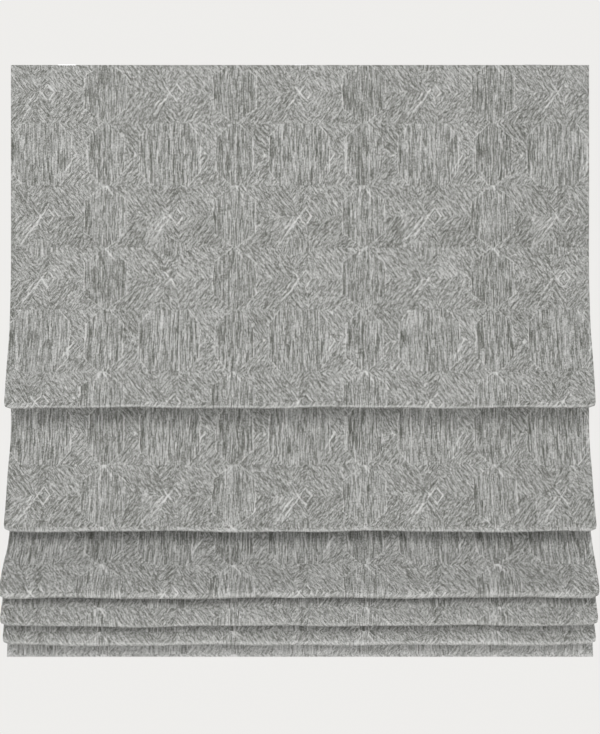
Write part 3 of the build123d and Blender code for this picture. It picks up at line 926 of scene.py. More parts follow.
def leaving_angle(first: Circle, second: Circle) -> float:
    """Direction of the straight cloth between two circles.

    Args:
        first: The circle that it leaves.
        second: The circle that it comes to.

    Returns:
        The angle, where straight down is minus a quarter turn.
    """
    forward, up = second.forward - first.forward, first.drop - second.drop
    reach = hypot(forward, up)
    return atan2(up, forward) - asin((second.turn * second.radius - first.turn * first.radius) / reach)


@dataclass(frozen=True)
class Station:
    """One line across the cloth: its place in the profile, its direction and its distance along the cloth."""

    forward: float
    drop: float
    angle: float
    distance: float
    panel: int


@dataclass
class ClothProfile:
    """The folded cloth seen from the side, as a belt over circles."""

    fold_steps: tuple[float, ...] = (0.7073, 0.2508, 0.1289, 0.0578, 0.0434)
    fold_forwards: tuple[float, ...] = (0.060, 0.064, 0.099, 0.090, 0.067)
    straight_drops: tuple[float, ...] = (0.395, 0.055, 0.003, 0.003, 0.003)
    hang_radii: tuple[float, ...] = (0.700, 0.200, 0.150, 0.030, 0.030)
    fold_radii: tuple[float, ...] = (0.009, 0.010, 0.013, 0.013, 0.011)
    seam_radius: float = 0.0012
    hang_share: float = 0.97
    hem_step: float = 0.0318
    hem_forward: float = 0.036
    hem_radius: float = 0.0026
    hem_depth: float = 0.034
    rod_above_seam: float = 0.0045
    line_step: float = 0.008
    turn_step: float = radians(15)
    circles_per_fold: int = 3
    top: float = field(init=False)
    front: float = field(init=False)
    hem_drop: float = field(init=False)
    circles: list[Circle] = field(init=False)
    angles: list[float] = field(init=False)
    stations: list[Station] = field(init=False)

    def __post_init__(self) -> None:
        """Work out the circles and the stations."""
        self.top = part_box("face_fabric")[1].z
        self.front = -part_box("face_fabric")[1].y
        drops = [sum(self.fold_steps[: number + 1]) for number in range(len(self.fold_steps))]
        self.circles = [Circle(0.0, 0.0, 0.0, 1)]
        for number, drop in enumerate(drops):
            low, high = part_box(f"rod_{number + 1}")
            seam = self.top - (low.z + high.z) / 2 + self.rod_above_seam
            radius = self.fold_radii[number]
            fold = Circle(self.fold_forwards[number] - radius, drop - radius, radius, -1)
            start = self.circles[-1].drop + self.straight_drops[number]
            down = fold.drop - start
            widest = (down**2 + fold.forward**2 - radius**2) / (2 * (fold.forward + radius))
            hang = min(self.hang_radii[number], self.hang_share * widest)
            self.circles += [Circle(hang, start, hang, 1), fold]
            self.circles.append(Circle(self.seam_radius, seam, self.seam_radius, 1))
        self.hem_drop = drops[-1] + self.hem_step
        radius = self.hem_radius
        self.circles.append(Circle(self.hem_forward - radius, self.hem_drop - radius, radius, -1))
        self.angles = [leaving_angle(a, b) for a, b in zip(self.circles, self.circles[1:])]
        self.lay_stations()

    def lay_stations(self) -> None:
        """Lay stations down the outer face, from the top edge to the end of the turned-up hem."""
        distance, here = 0.0, (0.0, 0.0)
        self.stations = [Station(0.0, 0.0, self.angles[0], 0.0, 0)]
        for index, angle in enumerate(self.angles):
            circle = self.circles[index + 1]
            panel = (index + 1) // self.circles_per_fold
            end = circle.touch(angle)
            distance = self.run(here, end, angle, distance, index // self.circles_per_fold)
            hem = index == len(self.angles) - 1
            leave = angle - pi if hem else self.angles[index + 1]
            swept = ((leave - angle) * circle.turn) % (2 * pi)
            count = max(ceil(swept / self.turn_step), ceil(swept * circle.radius / self.line_step), 1)
            for step in range(1, count + 1):
                turned = angle + circle.turn * swept * step / count
                here = circle.touch(turned)
                distance += circle.radius * swept / count
                self.stations.append(Station(*here, turned, distance, panel))
        turned_up = self.hem_depth - self.hem_radius
        last = self.stations[-1]
        end = (last.forward + cos(last.angle) * turned_up, last.drop - sin(last.angle) * turned_up)
        self.run(here, end, last.angle, distance, last.panel)

    def run(self, start: tuple, end: tuple, angle: float, distance: float, panel: int) -> float:
        """Lay stations along straight cloth.

        Args:
            start: Where it starts.
            end: Where it ends.
            angle: Its direction.
            distance: The distance along the cloth at its start.
            panel: The number of the panel that it belongs to.

        Returns:
            The distance along the cloth at its end.
        """
        length = hypot(end[0] - start[0], end[1] - start[1])
        count = max(ceil(length / self.line_step), 1)
        for step in range(1, count + 1):
            share = step / count
            here = [a + (b - a) * share for a, b in zip(start, end)]
            self.stations.append(Station(here[0], here[1], angle, distance + length * share, panel))
        return distance + length

    def layer(self, ends_above_hem: float | None = None) -> "LayerRows":
        """The stations as arrays.

        Args:
            ends_above_hem: Where given, the layer ends this far above the hem circle, before the hem.

        Returns:
            The rows of a layer of cloth.
        """
        kept = self.stations
        if ends_above_hem is not None:
            hem = self.circles[-1]
            skirt = [s for s in kept if s.panel == len(self.fold_steps)]
            near = [s for s in skirt if hypot(s.forward - hem.forward, s.drop - hem.drop) < ends_above_hem]
            kept = kept[: kept.index(near[0])]
        columns = [(s.forward, s.drop, sin(s.angle), cos(s.angle), s.distance, s.panel) for s in kept]
        return LayerRows(*(np.array(column) for column in zip(*columns)))


@dataclass
class LayerRows:
    """Rows of the outer face, with the direction that leads behind it."""

    forward: np.ndarray
    drop: np.ndarray
    back_forward: np.ndarray
    back_drop: np.ndarray
    distance: np.ndarray
    panel: np.ndarray

    def length(self, behind: float) -> float:
        """Length of the rows' line, moved behind the outer face.

        Args:
            behind: How far behind.

        Returns:
            The length.
        """
        forward = self.forward + behind * self.back_forward
        drop = self.drop + behind * self.back_drop
        return float(np.hypot(np.diff(forward), np.diff(drop)).sum())


def rise(value: np.ndarray, start: float, end: float) -> np.ndarray:
    """A smooth step, from 0 up to start to 1 from end on."""
    held = np.clip((value - start) / (end - start), 0.0, 1.0)
    return held * held * (3 - 2 * held)


@dataclass(frozen=True)
class Stretch:
    """A stretch of the cloth's drop, from where it starts and counts fully to where it fades and ends."""

    start: float
    full: float
    fading: float
    end: float

    def share(self, drop: np.ndarray) -> np.ndarray:
        """How much each drop belongs to the stretch, from 0 to 1."""
        return rise(drop, self.start, self.full) * (1 - rise(drop, self.fading, self.end))


@dataclass(frozen=True)
class Wave:
    """A slow wave across the cloth, which moves sideways down the cloth."""

    length: float
    phase: float
    drift: float
    size: float = 1.0

    def at(self, across: np.ndarray, drop: np.ndarray) -> np.ndarray:
        """The wave's height at points of the cloth."""
        return self.size * np.sin(2 * pi * across / self.length + self.phase + drop * self.drift)


@dataclass(frozen=True)
class Drape:
    """The small unevenness of hung cloth, the same for every layer, so that layers keep apart."""

    half_width: float = 0.6
    free_forward: float = 0.035
    bar_above_foot: tuple[float, float] = (0.055, 0.035)
    bar_forward: tuple[float, float] = (0.040, 0.052)
    top_panel: Stretch = Stretch(0.07, 0.27, 0.60, 0.70)
    top_panel_share: float = 0.25
    down_waves: tuple[Wave, Wave] = (Wave(0.43, 1.3, 21.0), Wave(0.19, 4.1, -37.0, 0.6))
    wave_drop: float = 0.0011
    out_waves: tuple[Wave, Wave] = (Wave(0.61, 0.4, 9.0), Wave(0.27, 2.2, 17.0, 0.55))
    wave_forward: float = 0.0022
    lean: float = 0.007
    leaning: Stretch = Stretch(0.98, 1.04, 1.16, 1.21)
    corner: float = 0.016
    corner_rise: float = 0.006
    corner_forward: tuple[float, float] = (0.030, 0.060)
    sag: float = 0.0028
    side_wave: float = 0.0006
    side_drift: float = 31.0
    side_phase: float = 1.7

    def move(self, across: np.ndarray, forward: np.ndarray, drop: np.ndarray, bottom: float) -> tuple:
        """Move points of the cloth.

        Args:
            across: Places across the width.
            forward: Forward places.
            drop: Drops.
            bottom: The drop of the hem.

        Returns:
            The moved forward places and drops, and how far to move points sideways.
        """
        low = rise(drop, *(bottom - reach for reach in self.bar_above_foot))
        off_bar = 1 - low * (1 - rise(forward, *self.bar_forward))
        free = rise(forward, 0.0, self.free_forward) * off_bar
        loose = free + self.top_panel.share(drop) * self.top_panel_share
        wave_down = sum(wave.at(across, drop) for wave in self.down_waves)
        wave_out = sum(wave.at(across, drop) for wave in self.out_waves)
        edge = np.clip((np.abs(across) - (self.half_width - self.corner)) / self.corner, 0, 1)
        raised = self.corner_rise * edge**2 * rise(forward, *self.corner_forward) * off_bar
        lean = -across / self.half_width * self.lean * self.leaning.share(drop)
        moved_drop = drop + free * (self.sag + self.wave_drop * wave_down) - raised
        moved_forward = forward + loose * self.wave_forward * wave_out + free * lean
        side = np.sin(drop * self.side_drift + np.sign(across) * self.side_phase)
        return moved_forward, moved_drop, self.side_wave * side * np.abs(across) / self.half_width * free


def clear_selection() -> None:
    """Deselect everything and leave edit mode."""
    if bpy.context.object and bpy.context.object.mode != "OBJECT":
        bpy.ops.object.mode_set(mode="OBJECT")
    bpy.ops.object.select_all(action="DESELECT")


def apply_modifiers(piece: bpy.types.Object) -> None:
    """Apply all modifiers of a piece.

    Args:
        piece: The piece.
    """
    clear_selection()
    bpy.context.view_layer.objects.active = piece
    piece.select_set(True)
    for modifier in list(piece.modifiers):
        bpy.ops.object.modifier_apply(modifier=modifier.name)
    piece.select_set(False)


def distances(x: np.ndarray, y: np.ndarray) -> np.ndarray:
    """Distance along a line of points at each of its points."""
    return np.concatenate([[0.0], np.cumsum(np.hypot(np.diff(x), np.diff(y)))])


SMOOTH_BELOW = radians(50)


def corner_vertices(mesh: bpy.types.Mesh) -> np.ndarray:
    """Find the vertex at each face corner of a mesh.

    Args:
        mesh: The mesh.

    Returns:
        One vertex number for each corner.
    """
    corners = np.zeros(len(mesh.loops), np.int32)
    mesh.loops.foreach_get("vertex_index", corners)
    return corners


def grid_cloth(
    name: str, across: np.ndarray, points: np.ndarray, runs: np.ndarray, thickness: float
) -> bpy.types.Object:
    """Make a sheet from a grid whose points are placed one by one.

    Args:
        name: The piece's name.
        across: Places of its columns across the width.
        points: Places of all points, by row and column.
        runs: Distance along the cloth at each row.
        thickness: The cloth's thickness, which goes to its back.

    Returns:
        The sheet, smooth, with a UV map in metres.
    """
    rows, columns = points.shape[:2]
    clear_selection()
    bpy.ops.mesh.primitive_grid_add(x_subdivisions=columns - 1, y_subdivisions=rows - 1, size=1.0)
    sheet = bpy.context.object
    sheet.name = name
    mesh = sheet.data
    mesh.name = name
    mesh.vertices.foreach_set("co", points.astype(np.float32).ravel())
    layer = mesh.uv_layers.active
    layer.name = "cloth"
    spread = np.stack(np.broadcast_arrays(across[None, :], runs[:, None]), axis=-1).reshape(-1, 2)
    layer.data.foreach_set("uv", spread[corner_vertices(mesh)].astype(np.float32).ravel())
    mesh.update()
    clear_selection()
    bpy.context.view_layer.objects.active = sheet
    sheet.select_set(True)
    bpy.ops.object.mode_set(mode="EDIT")
    bpy.ops.mesh.select_all(action="SELECT")
    bpy.ops.mesh.flip_normals()
    bpy.ops.object.mode_set(mode="OBJECT")
    thick = sheet.modifiers.new("thickness", "SOLIDIFY")
    thick.thickness = thickness
    thick.offset = -1.0
    thick.use_even_offset = True
    apply_modifiers(sheet)
    sheet.select_set(True)
    bpy.ops.object.shade_smooth_by_angle(angle=SMOOTH_BELOW)
    sheet.select_set(False)
    return sheet


@dataclass
class FabricPanel:
    """The face cloth, turned in at its sides, and its lining, hung in folds."""

    profile: ClothProfile
    drape: Drape
    half_width: float = 0.6
    face_thickness: float = 0.0008
    lining_thickness: float = 0.0005
    clearance: float = 0.0003
    lining_inset: float = 0.012
    side_hem: float = 0.0105
    side_turn: float = 1.06
    side_turn_steps: int = 6
    side_hem_columns: tuple[float, ...] = (0.25, 0.6, 1.0)
    # The direction of the fold edge that gets the painted highlight, and how far round it reaches.
    crease_middle: float = 226.0
    crease_half: float = 36.0
    # Painted light in the hem: its strength, and how soft its upper edge is.
    hem_painted_light: float = 0.35
    hem_painted_light_edge: float = 0.004
    face_columns: int = 97
    lining_columns: int = 85
    taken_up: tuple[float, ...] = (0.0, 0.0974, 0.1159, 0.1111, 0.1094, 0.1094)

    def place_points(self, rows: LayerRows, across: np.ndarray, behind: np.ndarray) -> np.ndarray:
        """Place a layer's points.

        Args:
            rows: The layer's rows.
            across: Places of its columns.
            behind: How far each column lies behind the outer face.

        Returns:
            The points by row and column.
        """
        x = across[None, :] + 0 * rows.drop[:, None]
        forward = rows.forward[:, None] + behind[None, :] * rows.back_forward[:, None]
        drop = rows.drop[:, None] + behind[None, :] * rows.back_drop[:, None]
        out, down, sideways = self.drape.move(x, forward, drop, self.profile.hem_drop)
        return np.stack([x + sideways, -self.profile.front - out, self.profile.top - down], axis=-1)

    def hemmed_columns(self) -> tuple[np.ndarray, np.ndarray, np.ndarray]:
        """Columns of the face cloth, carried round its side edges on to its back.

        Returns:
            Places across, how far behind each column lies, and places across before the hem was turned.
        """
        turn = self.face_thickness * self.side_turn
        edge = self.half_width - turn
        angles = [pi * step / self.side_turn_steps for step in range(self.side_turn_steps + 1)]
        turned = [(edge + turn * sin(angle), turn - turn * cos(angle)) for angle in angles]
        turned += [(edge - self.side_hem * share, 2 * turn) for share in self.side_hem_columns]
        middle = np.linspace(-edge, edge, self.face_columns)[1:-1]
        right, depth = (np.array(column) for column in zip(*turned))
        flat = right[0] + distances(right, depth)
        across = np.concatenate([-right[::-1], middle, right])
        behind = np.concatenate([depth[::-1], 0 * middle, depth])
        return across, behind, np.concatenate([-flat[::-1], middle, flat])

    def face(self) -> bpy.types.Object:
        """Make the face cloth.

        Returns:
            The face cloth.
        """
        across, behind, flat = self.hemmed_columns()
        rows = self.profile.layer()
        points = self.place_points(rows, across, behind)
        runs = rows.distance + np.array(self.taken_up)[rows.panel]
        cloth = grid_cloth("face_fabric_cloth", flat, points, runs, self.face_thickness)
        FinishStore.dress(cloth, "face_cloth")
        hung = cloth.data.attributes.new("hung_height", "FLOAT", "POINT")
        hung.data.foreach_set("value", np.array([v.co.z for v in cloth.data.vertices], np.float32))
        nearest = np.clip(np.searchsorted(runs, self.vertex_runs(cloth)), 0, len(runs) - 1)
        # Painted highlight share for each vertex, which the face cloth's shader adds to its tone.
        painted_highlight = cloth.data.attributes.new("painted_highlight", "FLOAT", "POINT")
        painted_highlight.data.foreach_set("value", self.painted_highlight_share(rows)[nearest].astype(np.float32))
        self.hang(cloth, "face_fabric", "face_cloth")
        cut = (float(flat[-1] - flat[0]), rows.length(0.0))
        return cloth

    def painted_highlight_share(self, rows: LayerRows) -> np.ndarray:
        """How much painted highlight each row gets: most at the lower edge of a tight fold, and painted light
        in the hem, where the fold above shades it.

        Args:
            rows: The layer's rows.

        Returns:
            A value from 0 to 1 for each row.
        """
        turned = np.degrees(np.arctan2(rows.back_forward, rows.back_drop)) % 360
        off_crease = np.abs(turned - self.crease_middle)
        radii = np.array([*self.profile.fold_radii, self.profile.fold_radii[-1]])
        # Painted highlight along the lower edge of each fold, strongest in the tightest folds.
        folded = (1 - rise(off_crease, 0.0, self.crease_half)) * ((radii.min() / radii) ** 2)[rows.panel]
        hem_top = self.profile.hem_depth
        # Painted light in the hem, lightening cloth that the fold above shades.
        in_hem = 1 - rise(self.profile.hem_drop - rows.drop, hem_top - self.hem_painted_light_edge, hem_top)
        in_hem[rows.panel < len(self.profile.fold_steps)] = 0.0
        return np.maximum(folded, self.hem_painted_light * in_hem)

    def vertex_runs(self, cloth: bpy.types.Object) -> np.ndarray:
        """The distance along the cloth at each vertex, read back from the UV map.

        Args:
            cloth: The cloth.

        Returns:
            One distance for each vertex.
        """
        mesh = cloth.data
        places = np.zeros(2 * len(mesh.loops), np.float32)
        mesh.uv_layers["cloth"].data.foreach_get("uv", places)
        found = np.zeros(len(mesh.vertices))
        found[corner_vertices(mesh)] = places.reshape(-1, 2)[:, 1]
        return found

    def lining(self, sewn_on: list[bpy.types.Object]) -> bpy.types.Object:
        """Make the lining.

        Args:
            sewn_on: The pockets, tape and stitches that are sewn to it; not used.

        Returns:
            The lining.
        """
        half = self.half_width - self.lining_inset
        across = np.linspace(-half, half, self.lining_columns)
        front = self.face_thickness + self.clearance
        rows = self.profile.layer(self.profile.hem_depth + 2 * self.clearance)
        points = self.place_points(rows, across, front + 0 * across)
        cloth = grid_cloth("lining_cloth", across, points, rows.distance, self.lining_thickness)
        FinishStore.dress(cloth, "lining_cloth")
        self.hang(cloth, "lining", "lining_cloth")
        cut = (2 * half, rows.length(front))
        return cloth

    def hang(self, cloth: bpy.types.Object, node: str, slot: str) -> None:
        """Bake a layer's place into its mesh and hide the node that it stands for.

        Args:
            cloth: The layer.
            node: The node that it stands for.
            slot: Its material slot; not used.
        """
        follow_lift(cloth)
        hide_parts(node)


def follow_lift(piece: bpy.types.Object) -> None:
    """Bake a piece's place into its mesh.

    Args:
        piece: The piece.
    """
    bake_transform(piece)


def pocket_tail(number: int) -> tuple[Vector, Vector]:
    """Find a rod's middle and the sewn tail of its pocket.

    Args:
        number: The rod's number.

    Returns:
        The middle of the rod, and the way from there to the tail's end.
    """
    rod_low, rod_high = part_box(f"rod_{number}")
    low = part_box(f"pocket_{number}")[0]
    centre = (rod_low + rod_high) / 2
    return centre, Vector((0, low.y - centre.y, low.z - centre.z))


def straight_points(low: Vector, high: Vector, column_step: float, rows: int) -> np.ndarray:
    """Lay out the points of a sheet that runs straight across between two corners of a box.

    Args:
        low: The box's lowest corner.
        high: Its highest corner.
        column_step: How far apart the columns lie at most.
        rows: The number of rows.

    Returns:
        The points by row and column, with their places across filled in.
    """
    points = np.zeros((rows, ceil((high.x - low.x) / column_step) + 1, 3))
    points[:, :, 0] = np.linspace(low.x, high.x, points.shape[1])[None, :]
    return points


@dataclass(frozen=True)
class RodPocket:
    """A strip of lining cloth wrapped round a rod, with both its edges sewn together at the seam."""

    number: int
    cloth_thickness: float = 0.0004
    tube_radius: float = 0.0029
    tail_half: float = 0.00045
    tail_spare: float = 0.0008
    column_step: float = 0.012
    turn_steps: int = 22

    def build(self) -> bpy.types.Object:
        """Make the pocket.

        Returns:
            The pocket.
        """
        low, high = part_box(f"pocket_{self.number}")
        centre, reach = pocket_tail(self.number)
        angle = atan2(reach.z, reach.y)
        tail = reach.length - self.cloth_thickness - self.tail_spare
        opening = asin(self.tail_half / self.tube_radius)
        turn = angle + np.linspace(opening, 2 * pi - opening, self.turn_steps + 1)
        ends = [(tail * cos(angle) - side * sin(angle), tail * sin(angle) + side * cos(angle))
                for side in (self.tail_half, -self.tail_half)]
        forward = np.array([ends[0][0], *(self.tube_radius * np.cos(turn)), ends[1][0]])
        up = np.array([ends[0][1], *(self.tube_radius * np.sin(turn)), ends[1][1]])
        points = straight_points(low, high, self.column_step, len(up))
        points[:, :, 1] = centre.y + forward[:, None]
        points[:, :, 2] = centre.z + up[:, None]
        name = f"pocket_{self.number}_cloth"
        pocket = grid_cloth(name, points[0, :, 0], points, distances(forward, up), self.cloth_thickness)
        FinishStore.dress(pocket, "pocket_cloth")
        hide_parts(f"pocket_{self.number}")
        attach(pocket, f"rod_{self.number}")
        return pocket


@dataclass(frozen=True)
class FixingTape:
    """A strip of hook or loop tape, with its woven edges a little uneven."""

    node: str
    rides: str
    unevenness: float = 0.00025
    edge_waves: float = 410.0
    column_step: float = 0.006
    row_count: int = 9

    def build(self) -> bpy.types.Object:
        """Make the tape.

        Returns:
            The tape.
        """
        low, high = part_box(self.node)
        points = straight_points(low, high, self.column_step, self.row_count)
        across = points[0, :, 0]
        heights = np.linspace(high.z, low.z, self.row_count)
        points[:, :, 1] = low.y
        share = (heights - heights.mean()) / (heights[0] - heights.mean())
        inset = self.unevenness * (1 + np.sin(across * self.edge_waves)) / 2
        points[:, :, 2] = heights[:, None] - share[:, None] * inset[None, :]
        tape = grid_cloth(f"{self.node}_strip", across, points, high.z - heights, high.y - low.y)
        FinishStore.dress(tape, "tape_cloth")
        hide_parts(self.node)
        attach(tape, self.rides)
        return tape


@dataclass(frozen=True)
class StitchRow:
    """A straight row of machine stitches."""

    name: str
    start: Place
    length: float
    rides: str
    stitch: float = 0.0030
    pitch: float = 0.0040
    thread: float = 0.00022
    sides: int = 8
    rings: int = 5

    def build(self) -> bpy.types.Object:
        """Make one stitch and repeat it along the row.

        Returns:
            The row.
        """
        clear_selection()
        bpy.ops.mesh.primitive_uv_sphere_add(segments=self.sides, ring_count=self.rings, radius=0.5)
        row = bpy.context.object
        row.name = self.name
        bpy.ops.object.mode_set(mode="EDIT")
        bpy.ops.mesh.select_all(action="SELECT")
        bpy.ops.transform.resize(value=(self.stitch, 2 * self.thread, 2 * self.thread))
        bpy.ops.transform.translate(value=self.start)
        bpy.ops.object.mode_set(mode="OBJECT")
        bpy.ops.object.shade_smooth()
        repeat = row.modifiers.new("repeat", "ARRAY")
        repeat.use_relative_offset = False
        repeat.use_constant_offset = True
        repeat.constant_offset_displace = (self.pitch, 0.0, 0.0)
        repeat.count = int(self.length / self.pitch)
        apply_modifiers(row)
        FinishStore.dress(row, "stitch_thread")
        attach(row, self.rides)
        return row


@dataclass
class Stitching:
    """Rows of stitches that hold each pocket at its seam."""

    profile: ClothProfile
    pocket_share: float = 0.62
    above_tail: float = 0.0006
    inset: float = 0.004
    spare: float = 0.006

    def build(self) -> list[bpy.types.Object]:
        """Make all rows.

        Returns:
            The rows.
        """
        rows = []
        for number in range(1, len(self.profile.fold_steps) + 1):
            low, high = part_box(f"pocket_{number}")
            centre, tail = pocket_tail(number)
            beside = Vector((0, tail.z, -tail.y)).normalized()
            if beside.z < 0:
                beside = -beside
            place = centre + tail * self.pocket_share + beside * self.above_tail
            start = (low.x + self.inset, place.y, place.z)
            length = high.x - low.x - self.spare
            rows.append(StitchRow(f"pocket_stitches_{number}", start, length, f"rod_{number}").build())
        return rows


@dataclass
class LiftCord:
    """One lift cord, from the foot of its winding down through the rings into its lock."""

    number: int
    profile: ClothProfile
    radius: float = 0.0006
    roundness: int = 2
    points: int = 24
    winding_pitch: float = 0.00127
    winding_points: int = 16
    curve_steps: int = 2
    x: float = field(init=False)
    y: float = field(init=False)
    foot: float = field(init=False)
    shaft_height: float = field(init=False)
    winding_end: float = field(init=False)

    def __post_init__(self) -> None:
        """Read the cord's place from the frame."""
        low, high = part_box(f"lift_cord_{self.number}")
        pack_low, pack_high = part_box(f"cord_pack_{self.number}")
        self.x = (low.x + high.x) / 2
        self.y = (low.y + high.y) / 2
        self.foot = low.z
        self.shaft_height = (pack_low.z + pack_high.z) / 2
        self.winding_end = pack_high.x

    def tube(self, name: str, line: list[Place]) -> bpy.types.Object:
        """Make a round cord along a line.

        Args:
            name: The piece's name.
            line: The points of its centreline.

        Returns:
            The cord as a mesh.
        """
        curve = bpy.data.curves.new(name, "CURVE")
        curve.dimensions = "3D"
        curve.bevel_depth = self.radius
        curve.bevel_resolution = self.roundness
        curve.resolution_u = self.curve_steps
        curve.use_fill_caps = True
        spline = curve.splines.new("NURBS")
        spline.points.add(len(line) - 1)
        for point, place in zip(spline.points, line):
            point.co = (*place, 1.0)
        spline.order_u = 3
        spline.use_endpoint_u = True
        drawn = bpy.data.objects.new(name + "_line", curve)
        bpy.context.collection.objects.link(drawn)
        bpy.context.view_layer.update()
        mesh = bpy.data.meshes.new_from_object(drawn.evaluated_get(bpy.context.evaluated_depsgraph_get()))
        bpy.data.objects.remove(drawn)
        bpy.data.curves.remove(curve)
        mesh.name = name
        mesh.shade_smooth()
        self.lay_braid(mesh, line)
        made = bpy.data.objects.new(name, mesh)
        bpy.context.collection.objects.link(made)
        return made

    def lay_braid(self, mesh: bpy.types.Mesh, line: list[Place]) -> None:
        """Give a cord a UV map of its turn round the cord and its distance along it in metres.

        Args:
            mesh: The cord's mesh, whose vertices lie in rings from its start to its end.
            line: The points of its centreline.
        """
        sides = 2 * self.roundness + 4
        rings = len(mesh.vertices) // sides
        length = sum((Vector(b) - Vector(a)).length for a, b in zip(line, line[1:]))
        corners = corner_vertices(mesh)
        turn = (corners % sides) / sides
        along = (corners // sides) * length / max(rings - 1, 1)
        for face in mesh.polygons:
            part = slice(face.loop_start, face.loop_start + face.loop_total)
            if np.ptp(turn[part]) > 0.5:
                turn[part] = np.where(turn[part] < 0.5, turn[part] + 1.0, turn[part])
        while mesh.uv_layers:
            mesh.uv_layers.remove(mesh.uv_layers[0])
        braid = np.stack([turn, along], axis=-1).astype(np.float32)
        mesh.uv_layers.new(name="cloth").data.foreach_set("uv", braid.ravel())

    def winding(self) -> bpy.types.Object:
        """Make the turns of cord on the drum.

        Returns:
            The winding.
        """
        coil_radius = abs(self.y)
        turns = (self.winding_end - self.x) / self.winding_pitch
        count = int(turns * self.winding_points)
        line = []
        for step in range(count + 1):
            turned = 2 * pi * step / self.winding_points
            x = self.x + self.winding_pitch * turned / (2 * pi)
            line.append((x, -coil_radius * cos(turned), self.shaft_height + coil_radius * sin(turned)))
        coil = self.tube(f"cord_winding_{self.number}", line)
        FinishStore.dress(coil, "cord_braid")
        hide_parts(f"cord_pack_{self.number}")
        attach(coil, "drive")
        return coil

    def build(self) -> bpy.types.Object:
        """Make the straight cord and its winding.

        Returns:
            The straight cord.
        """
        top, bottom = self.shaft_height, self.foot
        shares = [step / (self.points - 1) for step in range(self.points)]
        line = [(self.x, self.y, top + (bottom - top) * share) for share in shares]
        cord = self.tube(f"lift_cord_{self.number}_braid", line)
        FinishStore.dress(cord, "cord_braid")
        follow_lift(cord)
        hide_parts(f"lift_cord_{self.number}")
        2 * self.radius
        self.winding()
        return cord


@dataclass(frozen=True)
class Lamp:
    """A soft round lamp, with its power in watts."""

    name: str
    place: Place
    aim: Place
    size: float
    power: float

    def build(self) -> None:
        """Hang the lamp."""
        data = bpy.data.lights.new(self.name, "AREA")
        data.shape = "DISK"
        data.size = self.size
        data.energy = self.power
        lamp = bpy.data.objects.new(self.name, data)
        lamp.location = self.place
        lamp.rotation_euler = (Vector(self.aim) - Vector(self.place)).to_track_quat("-Z", "Y").to_euler()
        bpy.context.collection.objects.link(lamp)


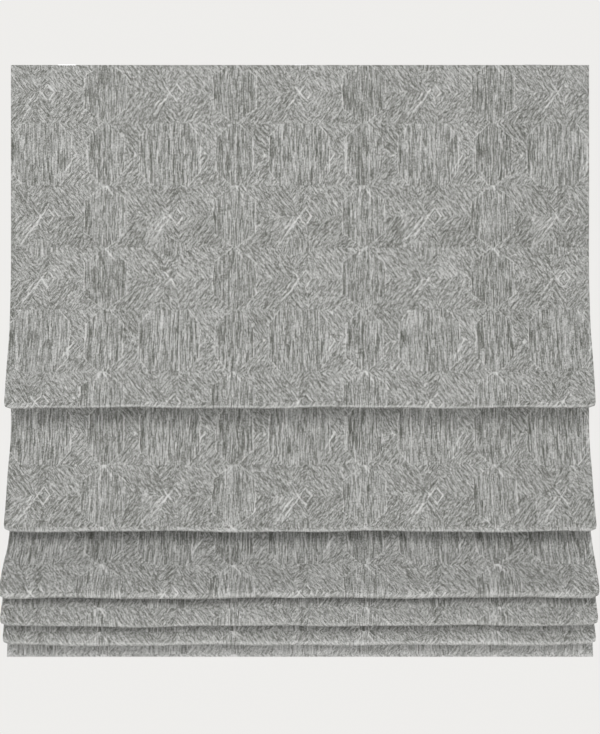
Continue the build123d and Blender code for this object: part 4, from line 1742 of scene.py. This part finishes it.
@dataclass(frozen=True)
class Studio:
    """Camera, lamps, floor and backdrop.

    The lamps are a broad one above and in front, a fill at the side, one low in front and one behind.
    """

    distance: float = 2.6
    eye_height: float = -0.611
    photo_height: float = 734.0
    focal_pixels: float = 1253.0
    horizon_row: float = 358.0
    sensor: float = 36.0
    floor_height: float = -2.6
    floor_reach: float = 5.0
    floor_fade: tuple[float, float] = (0.2, 0.75)
    floor_colour: Colour = (0.86, 0.85, 0.83)
    floor_roughness: float = 0.9
    backdrop_colour: Colour = (0.86, 0.8514, 0.8342)
    room_light: float = 0.40
    lamps: tuple[Lamp, ...] = (
        Lamp("key", (-0.8, -2.8, 1.05), (0.0, 0.0, -0.6), 1.6, 48.5),
        Lamp("fill", (2.4, -2.6, -0.5), (0.0, 0.0, -0.6), 1.8, 15.0),
        Lamp("floor_bounce", (0.0, -1.9, -2.1), (0.0, -0.1, -0.95), 1.2, 12.0),
        Lamp("back", (0.9, 2.6, 0.9), (0.0, 0.0, -0.6), 2.0, 34.0),
    )

    def camera(self, front: float) -> None:
        """Place the camera at the photograph's viewpoint.

        Args:
            front: How far the flat cloth's face lies from the frame's origin.
        """
        data = bpy.data.cameras.new("camera")
        data.sensor_width = self.sensor
        data.sensor_fit = "AUTO"
        data.lens = self.focal_pixels * self.sensor / self.photo_height
        data.shift_y = -(self.photo_height / 2 - self.horizon_row) / self.photo_height
        eye = bpy.data.objects.new("camera", data)
        eye.location = (0.0, -front - self.distance, self.eye_height)
        eye.rotation_euler = (pi / 2, 0.0, 0.0)
        bpy.context.collection.objects.link(eye)
        bpy.context.scene.camera = eye

    def world(self) -> None:
        """Light the room evenly and show a pale backdrop to the camera."""
        world = bpy.data.worlds.new("studio")
        bpy.context.scene.world = world
        world.use_nodes = True
        tree = world.node_tree
        tree.nodes.clear()
        bench = Bench(tree)
        seen_by = ("Camera", "Glossy", "Transmission")
        rays = [bench.signal("LightPath", output=f"Is {ray} Ray") for ray in seen_by]
        seen = rays[0].at_least(rays[1]).at_least(rays[2])
        room = bench.signal("Background", (1.0, 1.0, 1.0, 1.0), self.room_light)
        backdrop = bench.signal("Background", (*self.backdrop_colour, 1.0))
        bench.node("OutputWorld", bench.signal("MixShader", seen, room, backdrop))

    def floor(self) -> None:
        """Lay a plain pale floor below the lowered blind, which fades out into the backdrop."""
        clear_selection()
        bpy.ops.mesh.primitive_plane_add(size=2 * self.floor_reach, location=(0.0, 0.0, self.floor_height))
        floor = bpy.context.object
        floor.name = "studio_floor"
        material = bpy.data.materials.new("studio_floor")
        material.use_nodes = True
        bench = Bench(material.node_tree)
        across, deep, _ = bench.split(bench.signal("TexCoord", output=Coordinates.OBJECT.value))
        start, end = (self.floor_reach * share for share in self.floor_fade)
        near = bench.length(across, deep).mapped(start, end, 1.0, 0.0)
        from_above = 1.0 - bench.signal("NewGeometry", output="Backfacing")
        bench.dial(material.node_tree.nodes["Principled BSDF"], {
            "Base Color": (*self.floor_colour, 1.0),
            "Roughness": self.floor_roughness,
            "Alpha": near * from_above,
        })
        floor.data.materials.append(material)

    def build(self, front: float) -> None:
        """Set up the whole studio.

        Args:
            front: How far the flat cloth's face lies from the frame's origin.
        """
        bpy.context.scene.view_settings.view_transform = "Standard"
        self.camera(front)
        for lamp in self.lamps:
            lamp.build()
        self.world()
        self.floor()


CORD_COUNT = 4

NODE_FINISHES: dict[str, str] = {
    "headrail": "rail_paint",
    "end_cap": "white_moulding",
    "bracket": "clip_steel",
    "hook_tape": "tape_cloth",
    "loop_tape": "tape_cloth",
    "motor_housing": "motor_case",
    "set_button": "button_moulding",
    "port_cover": "port_rubber",
    "drive_shaft": "shaft_steel",
    "drive_collar": "clip_steel",
    "spool": "spool_moulding",
    "cord_pack": "cord_braid",
    "cradle": "white_moulding",
    "lift_cord": "cord_braid",
    "rod_caps": "ring_moulding",
    "rod": "rod_fibreglass",
    "pocket": "pocket_cloth",
    "cord_rings": "ring_moulding",
    "cord_locks": "ring_moulding",
    "bottom_bar": "bar_aluminium",
    "bar_cap": "white_moulding",
}


def dress_nodes() -> None:
    """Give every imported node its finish."""
    for node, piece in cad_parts.items():
        stem = max((s for s in NODE_FINISHES if node.startswith(s)), key=len, default=None)
        if stem:
            FinishStore.dress(piece, NODE_FINISHES[stem])


def main() -> None:
    """Build the blind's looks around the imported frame, and report each piece."""
    logging.basicConfig(level=logging.INFO, format="%(message)s")
    profile = ClothProfile()
    dress_nodes()
    fabric = FabricPanel(profile, Drape())
    pieces = [fabric.face(), FixingTape("hook_tape", "headrail").build()]
    sewn_on = [RodPocket(number).build() for number in range(1, len(profile.fold_steps) + 1)]
    sewn_on += Stitching(profile).build()
    sewn_on.append(FixingTape("loop_tape", "headrail").build())
    pieces += sewn_on
    pieces.append(fabric.lining(sewn_on))
    pieces += [LiftCord(number, profile).build() for number in range(1, CORD_COUNT + 1)]
    for piece in pieces:
        log.info("made %s with %d faces", piece.name, len(piece.data.polygons))
    Studio().build(profile.front)


if __name__ == "__main__":
    main()
